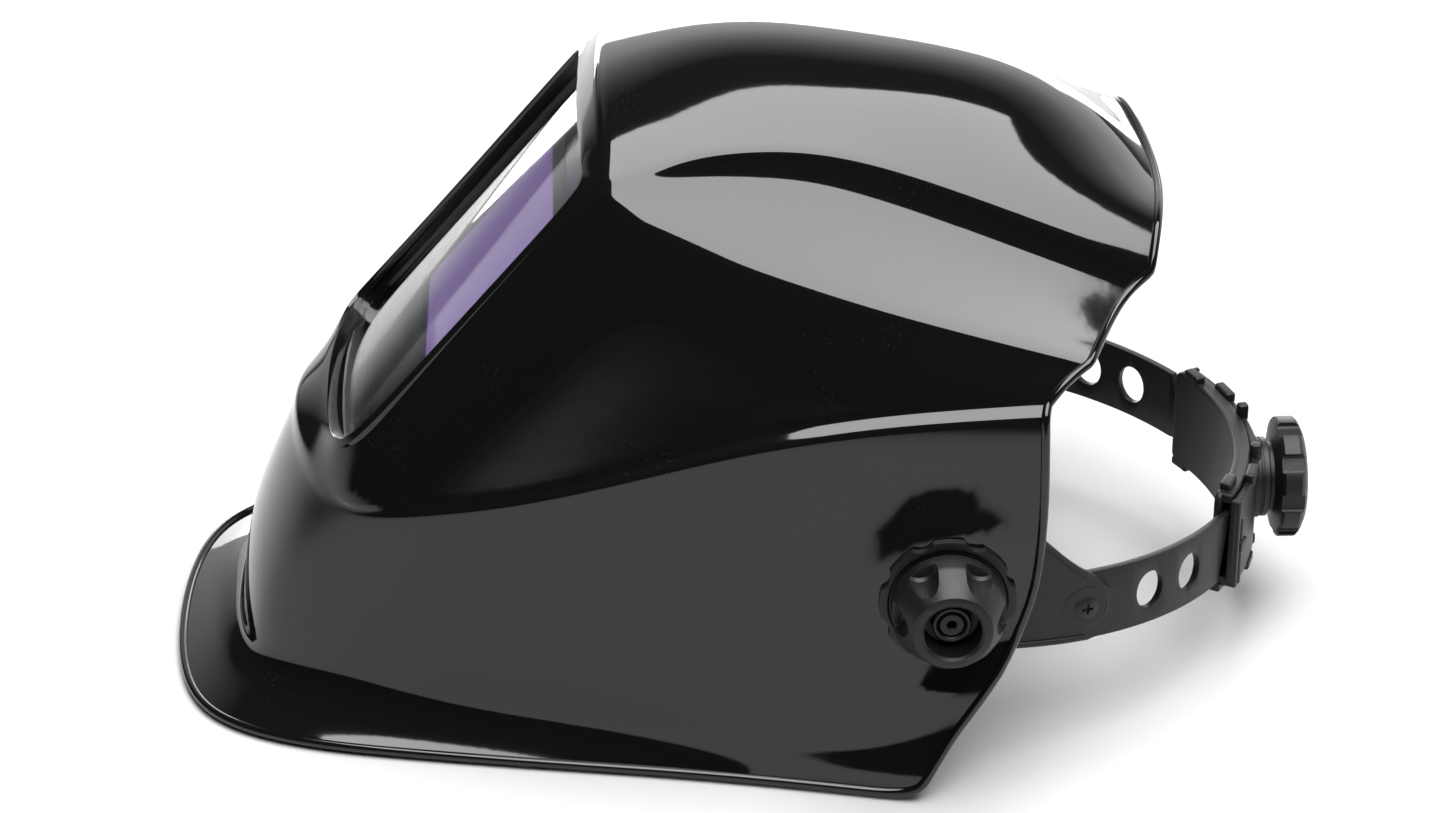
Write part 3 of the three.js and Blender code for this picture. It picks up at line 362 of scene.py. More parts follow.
# ---------------------------------------------------------------- shell cage, in millimetres
# Rows run back from the front of the helmet to its rear edge. Rows up to the bezel start at the
# middle of the chin, the rest at the edge of the bezel.
SHELL_ROWS = {
    "rim": [(0, -175, 0), (34, -173, 0), (64, -164, 0), (80, -136, 0), (87, -104, 0),
            (94, -66, 0), (101, -22, 0), (107, 8, 0), (113, 34, 0), (118, 54, 0)],
    "flange": [(0, -162, 3), (27, -161, 3), (50, -154, 3), (65, -134, 4), (76, -106, 5),
               (87, -66, 6), (98, -22, 6), (106, 9, 5), (113, 37, 4), (117, 57, 7)],
    "root": [(0, -154.5, 10), (20, -154, 10), (38, -151, 10), (49, -144, 11), (66, -116, 14),
             (80, -84, 14), (93, -35, 13), (103, 4, 12), (110, 36, 12), (114, 65, 20)],
    "lower": [(0, -153, 34), (22, -152, 34), (41, -147.5, 34), (52, -138, 35), (66, -108, 40),
              (79, -76, 45), (92, -28, 47), (100, 12, 47), (106, 50, 49), (109, 91, 56)],
    "belt_low": [(0, -137, 72), (24, -134.5, 70), (43, -128.5, 68), (60, -117, 66), (72, -94, 73),
                 (81, -66, 81), (89.5, -30, 95), (95, 3, 107), (98, 42, 115), (99, 90, 117.5)],
    "belt_high": [(0, -135.5, 79), (23, -133, 77), (42, -127, 73), (59, -116, 70), (71, -92, 77),
                  (80, -64, 84), (87, -28, 97), (91.5, 4, 109.5), (94, 43, 117.5), (95, 91, 120)],
    "side_low": [(59, -92, 106), (70, -73, 110), (77, -50, 114), (83, -20, 119), (88, 6, 124),
                 (92, 43, 127), (93, 95, 124.5)],
    "side_high": [(59, -64, 141), (68, -51, 143), (74, -36, 144), (79, -12, 144), (84, 8, 142),
                  (88, 43, 138), (90, 99, 127)],
    "shoulder": [(59, -38, 174), (67, -30, 170), (72, -17, 165.5), (77, 0, 159), (81, 18, 154),
                 (85, 48, 145), (88, 104, 130)],
    "scoop": [(58, -37, 175.5), (61, -28, 174.5), (56.5, -12, 176.5), (54, 10, 174.5),
              (53.5, 30, 170.5), (54, 57, 160), (60, 115.5, 137)],
    "ridge": [(57, -37, 177), (57, -27, 178.5), (54, -10, 183.5), (51, 14, 183.5), (50, 34, 180.5),
              (51, 62, 171), (58, 125, 144.3)],
    "haunch": [(42, -37, 184), (42, -27, 186.5), (41, -9, 189), (40, 14, 189), (39, 38, 185.5),
               (40, 78, 175.5), (49, 128, 157.5)],
    "crown": [(20, -38, 190), (20, -27, 193), (20, -8, 197), (20, 15, 198), (20, 42, 194),
              (21, 97, 184), (22, 132, 155)],
    "top": [(0, -38, 191.5), (0, -27, 195), (0, -8, 199.5), (0, 15, 200.5), (0, 44, 197),
            (0, 102, 187), (0, 133, 154)],
}
ROW_NAMES = list(SHELL_ROWS)
BEZEL_ROW = ROW_NAMES.index("belt_high")
BEZEL_COLUMN = 3
LAST_COLUMN = 9
# how tight each crease is drawn
ROW_CREASE = {"root": 0.42, "belt_low": 0.5, "belt_high": 0.5, "shoulder": 0.5, "ridge": 0.5}
HALF_WINDOW = 52
WINDOW_BOTTOM, WINDOW_TOP = -16, 104
OPENING = [
    (0, WINDOW_BOTTOM, 150), (22, WINDOW_BOTTOM, 149.5), (46, WINDOW_BOTTOM + 2, 148),
    (HALF_WINDOW, WINDOW_BOTTOM + 10, 146.5), (HALF_WINDOW - 0.5, 20, 146),
    (HALF_WINDOW - 0.5, 60, 146), (HALF_WINDOW, WINDOW_TOP - 8, 146),
    (HALF_WINDOW - 2, WINDOW_TOP - 0.5, 146.5), (HALF_WINDOW - 8, WINDOW_TOP, 147),
    (34, WINDOW_TOP, 147.5), (17, WINDOW_TOP, 148.5), (0, WINDOW_TOP, 149),
]
WINDOW_MIDDLE = (WINDOW_TOP + WINDOW_BOTTOM) / 2


def build_shell():
    vertices, faces, creases, ids = [], [], {}, {}

    def vertex(key, point, side):
        x, y, z = point
        own = (key, 0 if abs(x) < 1e-9 else side)
        if own not in ids:
            ids[own] = len(vertices)
            vertices.append((-x if side else x, y, z))
        return ids[own]

    def crease(a, b, value):
        creases[(min(a, b), max(a, b))] = value

    loops = [
        [(x, p, h) for x, p, h in OPENING],
        [(x * 0.985, p, LEDGE_LEVEL) for x, p, h in OPENING],
        [(x * 0.9, WINDOW_MIDDLE + (p - WINDOW_MIDDLE) * 0.9, LEDGE_LEVEL) for x, p, h in OPENING],
    ]
    s, c = math.sin(WINDOW_TILT), math.cos(WINDOW_TILT)
    for side in (0, 1):
        def at(row, column):
            first = 0 if row <= BEZEL_ROW else BEZEL_COLUMN
            return vertex((row, column), SHELL_ROWS[ROW_NAMES[row]][column - first], side)

        def quad(*corners):
            faces.append(corners[::-1] if side else corners)

        for row in range(len(ROW_NAMES)):
            first = 0 if row < BEZEL_ROW else BEZEL_COLUMN
            if row + 1 < len(ROW_NAMES):
                for col in range(first, LAST_COLUMN):
                    quad(at(row, col), at(row, col + 1), at(row + 1, col + 1), at(row + 1, col))
            value = ROW_CREASE.get(ROW_NAMES[row])
            if value:
                for col in range(0 if row <= BEZEL_ROW else BEZEL_COLUMN, LAST_COLUMN):
                    crease(at(row, col), at(row, col + 1), value)
        outer = [at(BEZEL_ROW, col) for col in range(BEZEL_COLUMN)]
        outer += [at(row, BEZEL_COLUMN) for row in range(BEZEL_ROW, len(ROW_NAMES))]
        for n, loop in enumerate(loops):
            inner = [vertex(("opening", n, k), (x, s * p - c * h, c * p + s * h), side)
                     for k, (x, p, h) in enumerate(loop)]
            for k in range(len(inner) - 1):
                quad(outer[k], outer[k + 1], inner[k + 1], inner[k])
                crease(outer[k], outer[k + 1], (0.5, 0.6, 0.7)[n])
            outer = inner
    mesh = bpy.data.meshes.new("shell_skin")
    mesh.from_pydata([cage_point(*v) for v in vertices], [], faces)
    mesh.update()
    layer = mesh.attributes.new("crease_edge", "FLOAT", "EDGE")
    for edge in mesh.edges:
        key = tuple(sorted(edge.vertices))
        layer.data[edge.index].value = creases.get(key, 0.0)
    shell = bpy.data.objects.new("shell_skin", mesh)
    bpy.context.collection.objects.link(shell)
    return shell


def seat_pivots(shell, seat_x, radius, fade):
    """Presses a flat round seat into each side, where the friction discs lie."""
    for v in shell.data.vertices:
        away = math.hypot(v.co.y - PIVOT_Y, v.co.z - PIVOT_Z)
        if away > radius + fade or abs(v.co.x) < 0.08:
            continue
        t = max(0.0, min(1.0, (away - radius) / fade))
        t = t * t * (3 - 2 * t)
        seat = math.copysign(seat_x, v.co.x)
        v.co.x = seat + (v.co.x - seat) * t


def edge_bead(skin, radius):
    """A small round bead along the shell's free border, swept from the border itself."""
    activate(skin)
    bpy.ops.object.mode_set(mode="EDIT")
    bpy.ops.mesh.select_mode(type="EDGE")
    bpy.ops.mesh.select_all(action="DESELECT")
    bpy.ops.mesh.select_non_manifold(extend=False)
    bpy.ops.object.mode_set(mode="OBJECT")
    # the border round the window keeps its plain ledge
    for edge in skin.data.edges:
        ends = [skin.data.vertices[k].co for k in edge.vertices]
        middle = (ends[0] + ends[1]) / 2
        if middle.y < 0 and middle.z > 50 * MM:
            edge.select = False
    bpy.ops.object.mode_set(mode="EDIT")
    bpy.ops.mesh.duplicate()
    bpy.ops.mesh.separate(type="SELECTED")
    bpy.ops.object.mode_set(mode="OBJECT")
    bead = next(o for o in bpy.context.selected_objects if o != skin)
    activate(bead)
    bpy.ops.object.convert(target="CURVE")
    bead.data.bevel_depth = radius * MM
    bead.data.bevel_resolution = 3
    bpy.ops.object.convert(target="MESH")
    for v in bead.data.vertices:
        v.co.z = max(v.co.z, 0)
    return bead


shell = build_shell()
subdivision = shell.modifiers.new("round", "SUBSURF")
subdivision.levels = subdivision.render_levels = 3
subdivision.boundary_smooth = "ALL"
apply_modifiers(shell)
disc_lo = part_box("friction_disc_left")[0]
seat_pivots(shell, disc_lo[0] - GAP * MM, SEAT_RADIUS, SEAT_FADE)
bead = edge_bead(shell, EDGE_BEAD_RADIUS)
wall = shell.modifiers.new("wall", "SOLIDIFY")
wall.thickness = SHELL_WALL
wall.offset = -1
wall.use_even_offset = False
apply_modifiers(shell)

bead.select_set(True)
bpy.ops.object.join()
smooth(shell, 50)
set_material(shell, shell_gloss)
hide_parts("shell")
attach(shell, "helmet")

# ---------------------------------------------------------------- drawing, cutting and rounding
def start_vertex(name):
    """One vertex at the origin, in edit mode, from which a profile is drawn."""
    deselect()
    bpy.ops.mesh.primitive_plane_add(size=1, location=(0, 0, 0))
    obj = bpy.context.object
    obj.name = name
    bpy.ops.object.mode_set(mode="EDIT")
    bpy.ops.mesh.select_mode(type="VERT")
    bpy.ops.mesh.select_all(action="SELECT")
    bpy.ops.mesh.merge(type="CENTER")
    return obj


def turned(name, profile, steps=64):
    """A turned piece about +Z: points of radius and height, in millimetres, drawn and spun."""
    obj = start_vertex(name)
    radius, height = profile[0]
    bpy.ops.transform.translate(value=(radius * MM, 0, height * MM))
    for next_radius, next_height in profile[1:]:
        step = ((next_radius - radius) * MM, 0, (next_height - height) * MM)
        bpy.ops.mesh.extrude_region_move(TRANSFORM_OT_translate={"value": step})
        radius, height = next_radius, next_height
    bpy.ops.mesh.select_all(action="SELECT")
    bpy.ops.mesh.spin(steps=steps, angle=2 * math.pi, center=(0, 0, 0), axis=(0, 0, 1))
    close_up(obj)
    return obj


def close_up(obj):
    activate(obj)
    bpy.ops.object.mode_set(mode="EDIT")
    bpy.ops.mesh.select_all(action="SELECT")
    bpy.ops.mesh.remove_doubles(threshold=1e-6)
    bpy.ops.mesh.normals_make_consistent(inside=False)
    bpy.ops.object.mode_set(mode="OBJECT")


def plate(name, outline, low, high):
    """A flat plate from its outline in X and Z, in millimetres, from low to high along Y."""
    deselect()
    bpy.ops.mesh.primitive_circle_add(vertices=len(outline), radius=1, fill_type="NGON")
    obj = bpy.context.object
    obj.name = name
    for vertex, (x, z) in zip(obj.data.vertices, outline):
        vertex.co = (x * MM, low * MM, z * MM)
    bpy.ops.object.mode_set(mode="EDIT")
    bpy.ops.mesh.select_all(action="SELECT")
    bpy.ops.mesh.extrude_region_move(
        TRANSFORM_OT_translate={"value": (0, (high - low) * MM, 0)})
    close_up(obj)
    return obj


def block(name, x0, x1, y0, y1, z0, z1):
    """A rectangular block to be rounded or used as a cutter, in millimetres."""
    return plate(name, [(x0, z0), (x1, z0), (x1, z1), (x0, z1)], y0, y1)


def cut(obj, *cutters):
    for cutter in cutters:
        modifier = obj.modifiers.new("cut", "BOOLEAN")
        modifier.operation = "DIFFERENCE"
        modifier.object = cutter
        modifier.solver = "EXACT"
        apply_modifiers(obj)
        bpy.data.objects.remove(cutter)


def join(obj, *others):
    activate(obj)
    for other in others:
        other.select_set(True)
    bpy.ops.object.join()
    return obj


def round_edges(obj, width, segments=2, degrees=32):
    bevel = obj.modifiers.new("soft edges", "BEVEL")
    bevel.width = width * MM
    bevel.segments = segments
    bevel.limit_method = "ANGLE"
    bevel.angle_limit = math.radians(degrees)
    bevel.use_clamp_overlap = True
    apply_modifiers(obj)


def set_down(obj, location, direction):
    """Turns a piece drawn about +Z to face a direction at a place, and keeps it there."""
    obj.rotation_mode = "QUATERNION"
    obj.rotation_quaternion = Vector(direction).to_track_quat("Z", "Y")
    obj.location = location
    bake_place(obj)


def move_by(obj, x=0, y=0, z=0):
    obj.location = (x * MM, y * MM, z * MM)
    bake_place(obj)


def turn_copy(obj, angle):
    """A copy turned about +Z through the origin."""
    copy = obj.copy()
    copy.data = obj.data.copy()
    bpy.context.collection.objects.link(copy)
    copy.rotation_euler = (0, 0, angle)
    bake_place(copy)
    return copy


def mirror_copy(obj, name):
    """A copy for the other side of the head, with its faces turned back outwards."""
    copy = obj.copy()
    copy.data = obj.data.copy()
    copy.name = name
    bpy.context.collection.objects.link(copy)
    copy.scale = (-1, 1, 1)
    bake_place(copy)
    activate(copy)
    bpy.ops.object.mode_set(mode="EDIT")
    bpy.ops.mesh.select_all(action="SELECT")
    bpy.ops.mesh.normals_make_consistent(inside=False)
    bpy.ops.object.mode_set(mode="OBJECT")
    return copy


def finish_piece(obj, body, slot, material, *replaced, degrees=35):
    smooth(obj, degrees)
    even = obj.modifiers.new("even shading", "WEIGHTED_NORMAL")
    even.keep_sharp = True
    apply_modifiers(obj)
    set_material(obj, material)
    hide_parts(*replaced)
    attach(obj, body)


def both_sides(obj, stem, bodies, slot, material, node, degrees=35):
    """Finishes a left piece and its mirrored right twin."""
    other = mirror_copy(obj, f"{stem}_right_finish")
    obj.name = f"{stem}_left_finish"
    finish_piece(obj, bodies[0], slot, material, f"{node}_left", degrees=degrees)
    finish_piece(other, bodies[1], slot, material, f"{node}_right", degrees=degrees)


def softened_copy(node, body, slot, width, segments=2):
    """A moulded version of a plain part: its own copy, welded, with its edges rounded."""
    source = nodes[node]
    mesh = source.data.copy()
    obj = bpy.data.objects.new(f"{node}_finish", mesh)
    bpy.context.collection.objects.link(obj)
    close_up(obj)
    bpy.ops.object.mode_set(mode="EDIT")
    bpy.ops.mesh.select_all(action="SELECT")
    bpy.ops.mesh.dissolve_limited(angle_limit=math.radians(1.5))
    bpy.ops.object.mode_set(mode="OBJECT")
    round_edges(obj, width, segments, 38)
    finish_piece(obj, body, slot, BY_SLOT[slot], node)


# ---------------------------------------------------------------- the head loop
PINION_LO, PINION_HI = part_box("ratchet_pinion")
REAR_Y = (PINION_LO[1] + PINION_HI[1]) / 2 / MM
REAR_Z = (PINION_LO[2] + PINION_HI[2]) / 2 / MM
PLATE_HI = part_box("side_plate_left")[1]
LOOP_Y = PIVOT_Y / MM
PLATE_THICKNESS = 2.4
HALF_BAND = 1.1
LOOP_HALF_WIDTH = PLATE_HI[0] / MM - PLATE_THICKNESS - GAP - HALF_BAND
LOOP_REAR = REAR_Y - LOOP_Y
LOOP_FRONT = LOOP_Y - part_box("browband")[0][1] / MM - HALF_BAND
BAND_SLOPE = 0.07
DEGREE = 1.72  # millimetres of band to each degree round the head


def on_loop(degrees, offset):
    """A point round the head from the forehead, offset outwards, in millimetres."""
    t = math.radians(degrees)
    reach = LOOP_FRONT if abs(degrees) < 90 else LOOP_REAR
    nx, ny = math.sin(t) / LOOP_HALF_WIDTH, -math.cos(t) / reach
    length = math.hypot(nx, ny)
    return (LOOP_HALF_WIDTH * math.sin(t) + nx / length * offset,
            LOOP_Y - reach * math.cos(t) + ny / length * offset)


def band_level(y):
    return REAR_Z + BAND_SLOPE * (REAR_Y - y)


def cross_cut(obj, spacing):
    """Cuts across a flat piece at even steps, so that it can bend smoothly."""
    low = min(v.co.x for v in obj.data.vertices)
    high = max(v.co.x for v in obj.data.vertices)
    count = int((high - low) / (spacing * MM))
    activate(obj)
    bpy.ops.object.mode_set(mode="EDIT")
    for k in range(1, count):
        bpy.ops.mesh.select_all(action="SELECT")
        bpy.ops.mesh.bisect(plane_co=(low + (high - low) * k / count, 0, 0), plane_no=(1, 0, 0))
    bpy.ops.object.mode_set(mode="OBJECT")


def bend_round_head(obj, spacing=3.0):
    """Bends a flat piece round the head: X is degrees, Y the offset and Z the height."""
    cross_cut(obj, spacing)
    for v in obj.data.vertices:
        degrees = v.co.x / MM / DEGREE
        x, y = on_loop(degrees, v.co.y / MM)
        level = band_level(on_loop(degrees, 0)[1])
        v.co = (x * MM, y * MM, (level + v.co.z / MM) * MM)
    close_up(obj)


def rounded_outline(x0, x1, z0, z1, radius, steps=4):
    points = []
    corners = ((x1 - radius, z0 + radius, -90), (x1 - radius, z1 - radius, 0),
               (x0 + radius, z1 - radius, 90), (x0 + radius, z0 + radius, 180))
    for cx, cz, start in corners:
        for k in range(steps + 1):
            a = math.radians(start + 90 * k / steps)
            points.append((cx + radius * math.cos(a), cz + radius * math.sin(a)))
    return points


def across(piece, degrees, height):
    """Moves a cutter or boss drawn about +Z to a place on a flat strap, facing outwards."""
    piece.rotation_euler = (math.radians(-90), 0, 0)
    piece.location = (degrees * DEGREE * MM, 0, height * MM)
    bake_place(piece)
    return piece


def round_hole(radius, degrees, height, start=-6, end=6):
    """A round cutter right through a flat strap."""
    hole = turned("hole", [(0, start), (radius, start), (radius, end), (0, end)], 28)
    return across(hole, degrees, height)


def ease(t):
    t = max(0.0, min(1.0, t))
    return t * t * (3 - 2 * t)


# ---------------------------------------------------------------- pivots
KNOB_LO, KNOB_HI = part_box("tension_knob_left")
KNOB_RADIUS = (KNOB_HI[2] - KNOB_LO[2]) / 2 / MM
KNOB_LENGTH = (KNOB_HI[0] - KNOB_LO[0]) / MM
KNOB_PLACE = Vector((KNOB_LO[0], PIVOT_Y, PIVOT_Z))
OUTWARDS = (1, 0, 0)


def tension_knob():
    r, h = KNOB_RADIUS, KNOB_LENGTH
    knob = turned("tension_knob_body", [
        (0, 0), (r - 0.8, 0), (r, 0.8), (r, h * 0.42), (r - 0.5, h * 0.5), (r - 2.6, h * 0.76),
        (r - 5.2, h - 0.5), (r - 6.2, h), (9.4, h), (8.6, h - 0.7), (8.2, h - 9), (6.4, h - 9.6),
        (0, h - 9.6)], 96)
    pocket = turned("pocket", [(0, 4.6), (4.2, 4.6), (5.0, 5.6), (5.4, h + 2), (0, h + 2)], 40)
    move_by(pocket, x=r + 1.2)
    pockets = [turn_copy(pocket, math.radians(60 * k)) for k in range(6)]
    bpy.data.objects.remove(pocket)
    cut(knob, *pockets)
    round_edges(knob, 0.45, 3, 28)
    boss = turned("boss", [(4.3, h - 10), (6.0, h - 10), (5.8, h - 5.4), (5.4, h - 4.9),
                           (4.7, h - 4.9), (4.3, h - 5.4), (4.3, h - 10)], 48)
    join(knob, boss)
    set_down(knob, KNOB_PLACE, OUTWARDS)
    both_sides(knob, "tension_knob", ("left_tension_knob", "right_tension_knob"), "nylon_black",
               nylon, "tension_knob")


def friction_disc():
    lo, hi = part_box("friction_disc_left")
    r, t = (hi[2] - lo[2]) / 2 / MM, (hi[0] - lo[0]) / MM
    disc = turned("friction_disc_body", [(4.3, 0), (r, 0), (r, t), (r - 2.4, t), (r - 3, t - 0.5),
                                         (4.3, t - 0.5), (4.3, 0)], 96)
    notch = turned("notch", [(0, -1), (4.6, -1), (4.6, t + 1), (0, t + 1)], 32)
    move_by(notch, x=r + 3.0)
    notches = [turn_copy(notch, math.radians(45 * k + 22.5)) for k in range(8)]
    bpy.data.objects.remove(notch)
    cut(disc, *notches)
    round_edges(disc, 0.4, 2, 35)
    set_down(disc, Vector((lo[0], PIVOT_Y, PIVOT_Z)), OUTWARDS)
    both_sides(disc, "friction_disc", ("helmet", "helmet"), "nylon_black", nylon, "friction_disc")


def pivot_bolt():
    lo, hi = BOLT_LO, BOLT_HI
    length, r = (hi[0] - lo[0]) / MM, (hi[2] - lo[2]) / 2 / MM
    bolt = turned("pivot_bolt_body", [
        (0, 1.2), (2.2, 1.2), (2.6, 0), (r - 1, 0), (r, 0.8), (r, 2.4), (r - 0.4, 2.8), (4, 2.8),
        (4, length - 0.8), (3.4, length), (1.6, length), (1.3, length - 0.4), (1.3, length - 4),
        (0, length - 4)], 48)
    set_down(bolt, Vector((lo[0], PIVOT_Y, PIVOT_Z)), OUTWARDS)
    both_sides(bolt, "pivot_bolt", ("headgear", "headgear"), "nylon_black", nylon, "pivot_bolt")


# ---------------------------------------------------------------- headgear straps
SCREW_ANGLE, SCREW_RISE = 114, 1
RIVET_ANGLE = 72
PLATE_FRONT, PLATE_REAR = 65, 119
PIVOT_RISE = PIVOT_Z / MM - band_level(LOOP_Y)
PLATE_IN = HALF_BAND + GAP
PLATE_OUT = PLATE_IN + PLATE_THICKNESS


def plate_top(d):
    rise = ease((d - PLATE_FRONT) / 19) * (1 - ease((d - 98) / 20))
    return 11 + (PIVOT_RISE + 11) * rise - end_round(d)


def plate_bottom(d):
    return -10.5 + 3 * (1 - ease((d - PLATE_FRONT) / 8)) + end_round(d)


def end_round(d):
    front = 5 * (1 - ease((d - PLATE_FRONT) / 3))
    return front + 5 * ease((d - PLATE_REAR + 4) / 4)


def side_plate():
    steps = [PLATE_FRONT + (PLATE_REAR - PLATE_FRONT) * k / 36 for k in range(37)]
    outline = [(d * DEGREE, plate_bottom(d)) for d in steps]
    outline += [(d * DEGREE, plate_top(d)) for d in reversed(steps)]
    body = plate("side_plate_body", outline, PLATE_IN, PLATE_OUT)
    ribs = []
    for edge, sign in ((plate_top, -1), (plate_bottom, 1)):
        path = [PLATE_FRONT + 4 + (PLATE_REAR - PLATE_FRONT - 9) * k / 30 for k in range(31)]
        rib = [(d * DEGREE, edge(d) + sign * 0.5) for d in path]
        rib += [(d * DEGREE, edge(d) + sign * 2.3) for d in reversed(path)]
        bead = plate("rib", rib, PLATE_OUT - 0.6, PLATE_OUT + 0.8)
        round_edges(bead, 0.6, 3, 40)
        ribs.append(bead)
    holes = [round_hole(2.9, SCREW_ANGLE, SCREW_RISE, -4, 8),
             round_hole(2.8, RIVET_ANGLE, 0, -4, 8)]
    cut(body, *holes)
    round_edges(body, 0.3, 2, 40)
    seat = turned("screw_seat", [
        (2.8, PLATE_OUT - 1), (7.8, PLATE_OUT - 1), (8.0, PLATE_OUT - 0.3),
        (7.4, PLATE_OUT + 0.1), (6.6, PLATE_OUT + 0.1), (6.0, PLATE_OUT - 0.5),
        (2.8, PLATE_OUT - 0.6), (2.8, PLATE_OUT - 1)], 48)
    join(body, across(seat, SCREW_ANGLE, SCREW_RISE), *ribs)
    bend_round_head(body, 2.6)
    # the flat round boss that the pivot bolt clamps
    boss = turned("pivot_boss", [(4.3, -0.2), (14, -0.2), (14, 2.0), (13.4, PLATE_THICKNESS),
                                 (4.3, PLATE_THICKNESS), (4.3, -0.2)], 64)
    lo = PLATE_HI[0] - PLATE_THICKNESS * MM
    set_down(boss, Vector((lo, PIVOT_Y, PIVOT_Z)), OUTWARDS)
    join(body, boss)
    both_sides(body, "side_plate", ("headgear", "headgear"), "nylon_black", nylon, "side_plate")


STRAP_START, STRAP_END = 101, 149
RACK_START, RACK_END = 152, 196
RACK_LOW, RACK_HIGH = 4.4, 10.5
HOLE_ANGLES = (128.2, 138.5)
HALF_HEIGHT = 11.5


def rear_strap(side):
    """One rear strap: the wide band with its oval size holes, then the toothed rack."""
    low, high = (RACK_LOW, RACK_HIGH) if side > 0 else (-RACK_HIGH, -RACK_LOW)
    r = 5.0
    start, end = STRAP_START * DEGREE, STRAP_END * DEGREE
    def corner(turn, rise):
        a = math.radians(turn)
        return (start + r + r * math.cos(a), rise + r * math.sin(a))

    outline = [corner(turn, r - HALF_HEIGHT) for turn in (180, 210, 240, 270)]
    outline += [(end, -HALF_HEIGHT), (RACK_START * DEGREE, low)]
    teeth = 26
    pitch = (RACK_END - RACK_START) * DEGREE / teeth
    for k in range(teeth):
        x = RACK_START * DEGREE + (k + 0.3) * pitch
        if side > 0:
            outline += [(x, low), (x + pitch * 0.25, low + 0.7), (x + pitch * 0.5, low + 0.7)]
    outline += [(RACK_END * DEGREE, low), (RACK_END * DEGREE, high)]
    for k in range(teeth):
        x = RACK_END * DEGREE - (k + 0.3) * pitch
        if side < 0:
            outline += [(x, high), (x - pitch * 0.25, high - 0.7), (x - pitch * 0.5, high - 0.7)]
    outline += [(RACK_START * DEGREE, high), (end, HALF_HEIGHT)]
    outline += [corner(turn, HALF_HEIGHT - r) for turn in (90, 120, 150, 180)]
    body = plate("rear_strap_body", outline, -HALF_BAND, HALF_BAND)
    holes = []
    for angle in HOLE_ANGLES:
        hole = turned("hole", [(0, -6), (6.5, -6), (6.5, 6), (0, 6)], 48)
        hole.scale = (0.8, 1, 1)
        bake_place(hole)
        holes.append(across(hole, angle, 0))
    holes.append(round_hole(2.8, SCREW_ANGLE, SCREW_RISE))
    cut(body, *holes)
    round_edges(body, 0.45, 2, 40)
    bend_round_head(body, 3.0)
    return body


def rear_straps():
    straps = (("rear_strap_left", rear_strap(1)), ("rear_strap_right", rear_strap(-1)))
    for name, body in straps:
        if name.endswith("right"):
            drawn = body
            body = mirror_copy(drawn, f"{name}_finish")
            bpy.data.objects.remove(drawn)
        body.name = f"{name}_finish"
        smooth(body)
        set_material(body, nylon)
        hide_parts(name)
        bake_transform(body)


def screw():
    """Pan head screw with a cross recess, seen on the outside of the side plate."""
    head = PLATE_OUT + GAP
    body = turned("screw_body", [
        (0, -3.0), (4.0, -3.0), (4.5, -2.4), (4.6, -HALF_BAND - 0.3), (2.5, -HALF_BAND - 0.3),
        (2.5, head - 0.9), (4.1, head - 0.9), (4.0, head - 0.3), (3.3, head + 0.3),
        (1.9, head + 0.6), (0, head + 0.7)], 40)
    bars = [block("bar", -1.7, 1.7, -0.4, 0.4, head - 0.3, head + 3),
            block("bar", -0.4, 0.4, -1.7, 1.7, head - 0.3, head + 3)]
    cut(body, *bars)
    round_edges(body, 0.12, 2, 45)
    across(body, SCREW_ANGLE, SCREW_RISE)
    bend_round_head(body, 20)
    both_sides(body, "strap_screw", ("headgear", "headgear"), "nylon_black", nylon, "strap_screw")


def brow_height(d):
    return HALF_HEIGHT + 4 * (1 - ease((abs(d) - 10) / 45))


def browband():
    steps = [-79 + 158 * k / 60 for k in range(61)]
    outline = [(d * DEGREE, -brow_height(d) + 3) for d in steps]
    outline += [(d * DEGREE, brow_height(d)) for d in reversed(steps)]
    body = plate("browband_body", outline, -HALF_BAND, HALF_BAND)
    slots = []
    for d in (-48, -32, -16, 0, 16, 32, 48):
        slot = turned("slot", [(0, -6), (3.2, -6), (3.2, 6), (0, 6)], 32)
        slot.scale = (2.4, 1, 1)
        bake_place(slot)
        slots.append(across(slot, d, 6.5))
    slots += [round_hole(2.8, d, 0) for d in (-RIVET_ANGLE, RIVET_ANGLE)]
    cut(body, *slots)
    round_edges(body, 0.45, 2, 40)
    bend_round_head(body, 3.0)
    body.name = "browband_finish"
    finish_piece(body, "headgear", "nylon_black", nylon, "browband")


# ---------------------------------------------------------------- ratchet
HOUSING_FROM, HOUSING_TO = 152, 208
FRONT_IN, BACK_OUT = -4.0, 4.0


def ratchet_front():
    """The smooth inner cover, with a lip above and below that meets the back."""
    a, b = HOUSING_FROM * DEGREE, HOUSING_TO * DEGREE
    body = plate("front_cover", rounded_outline(a, b, -16.5, 16.5, 3), FRONT_IN, FRONT_IN + 2.4)
    round_edges(body, 0.8, 3, 40)
    lips = []
    for z0, z1 in ((13.2, 16.4), (-16.4, -13.2)):
        lip = block("lip", a + 1.5, b - 1.5, FRONT_IN + 1.0, HALF_BAND + 0.2, z0, z1)
        round_edges(lip, 0.7, 3, 40)
        lips.append(lip)
    catches = []
    low, high = (-18.4, -15.5), (15.6, 18.6)
    for d, (z0, z1) in ((154.5, low), (205.5, low), (157, high), (203, high)):
        catch = block("catch", d * DEGREE - 4, d * DEGREE + 4, FRONT_IN, FRONT_IN + 3.6, z0, z1)
        round_edges(catch, 0.7, 3, 40)
        catches.append(catch)
    join(body, *lips, *catches)
    bend_round_head(body, 2.6)
    body.name = "ratchet_front_finish"
    finish_piece(body, "ratchet_carriage", "nylon_black", nylon, "ratchet_housing_front")


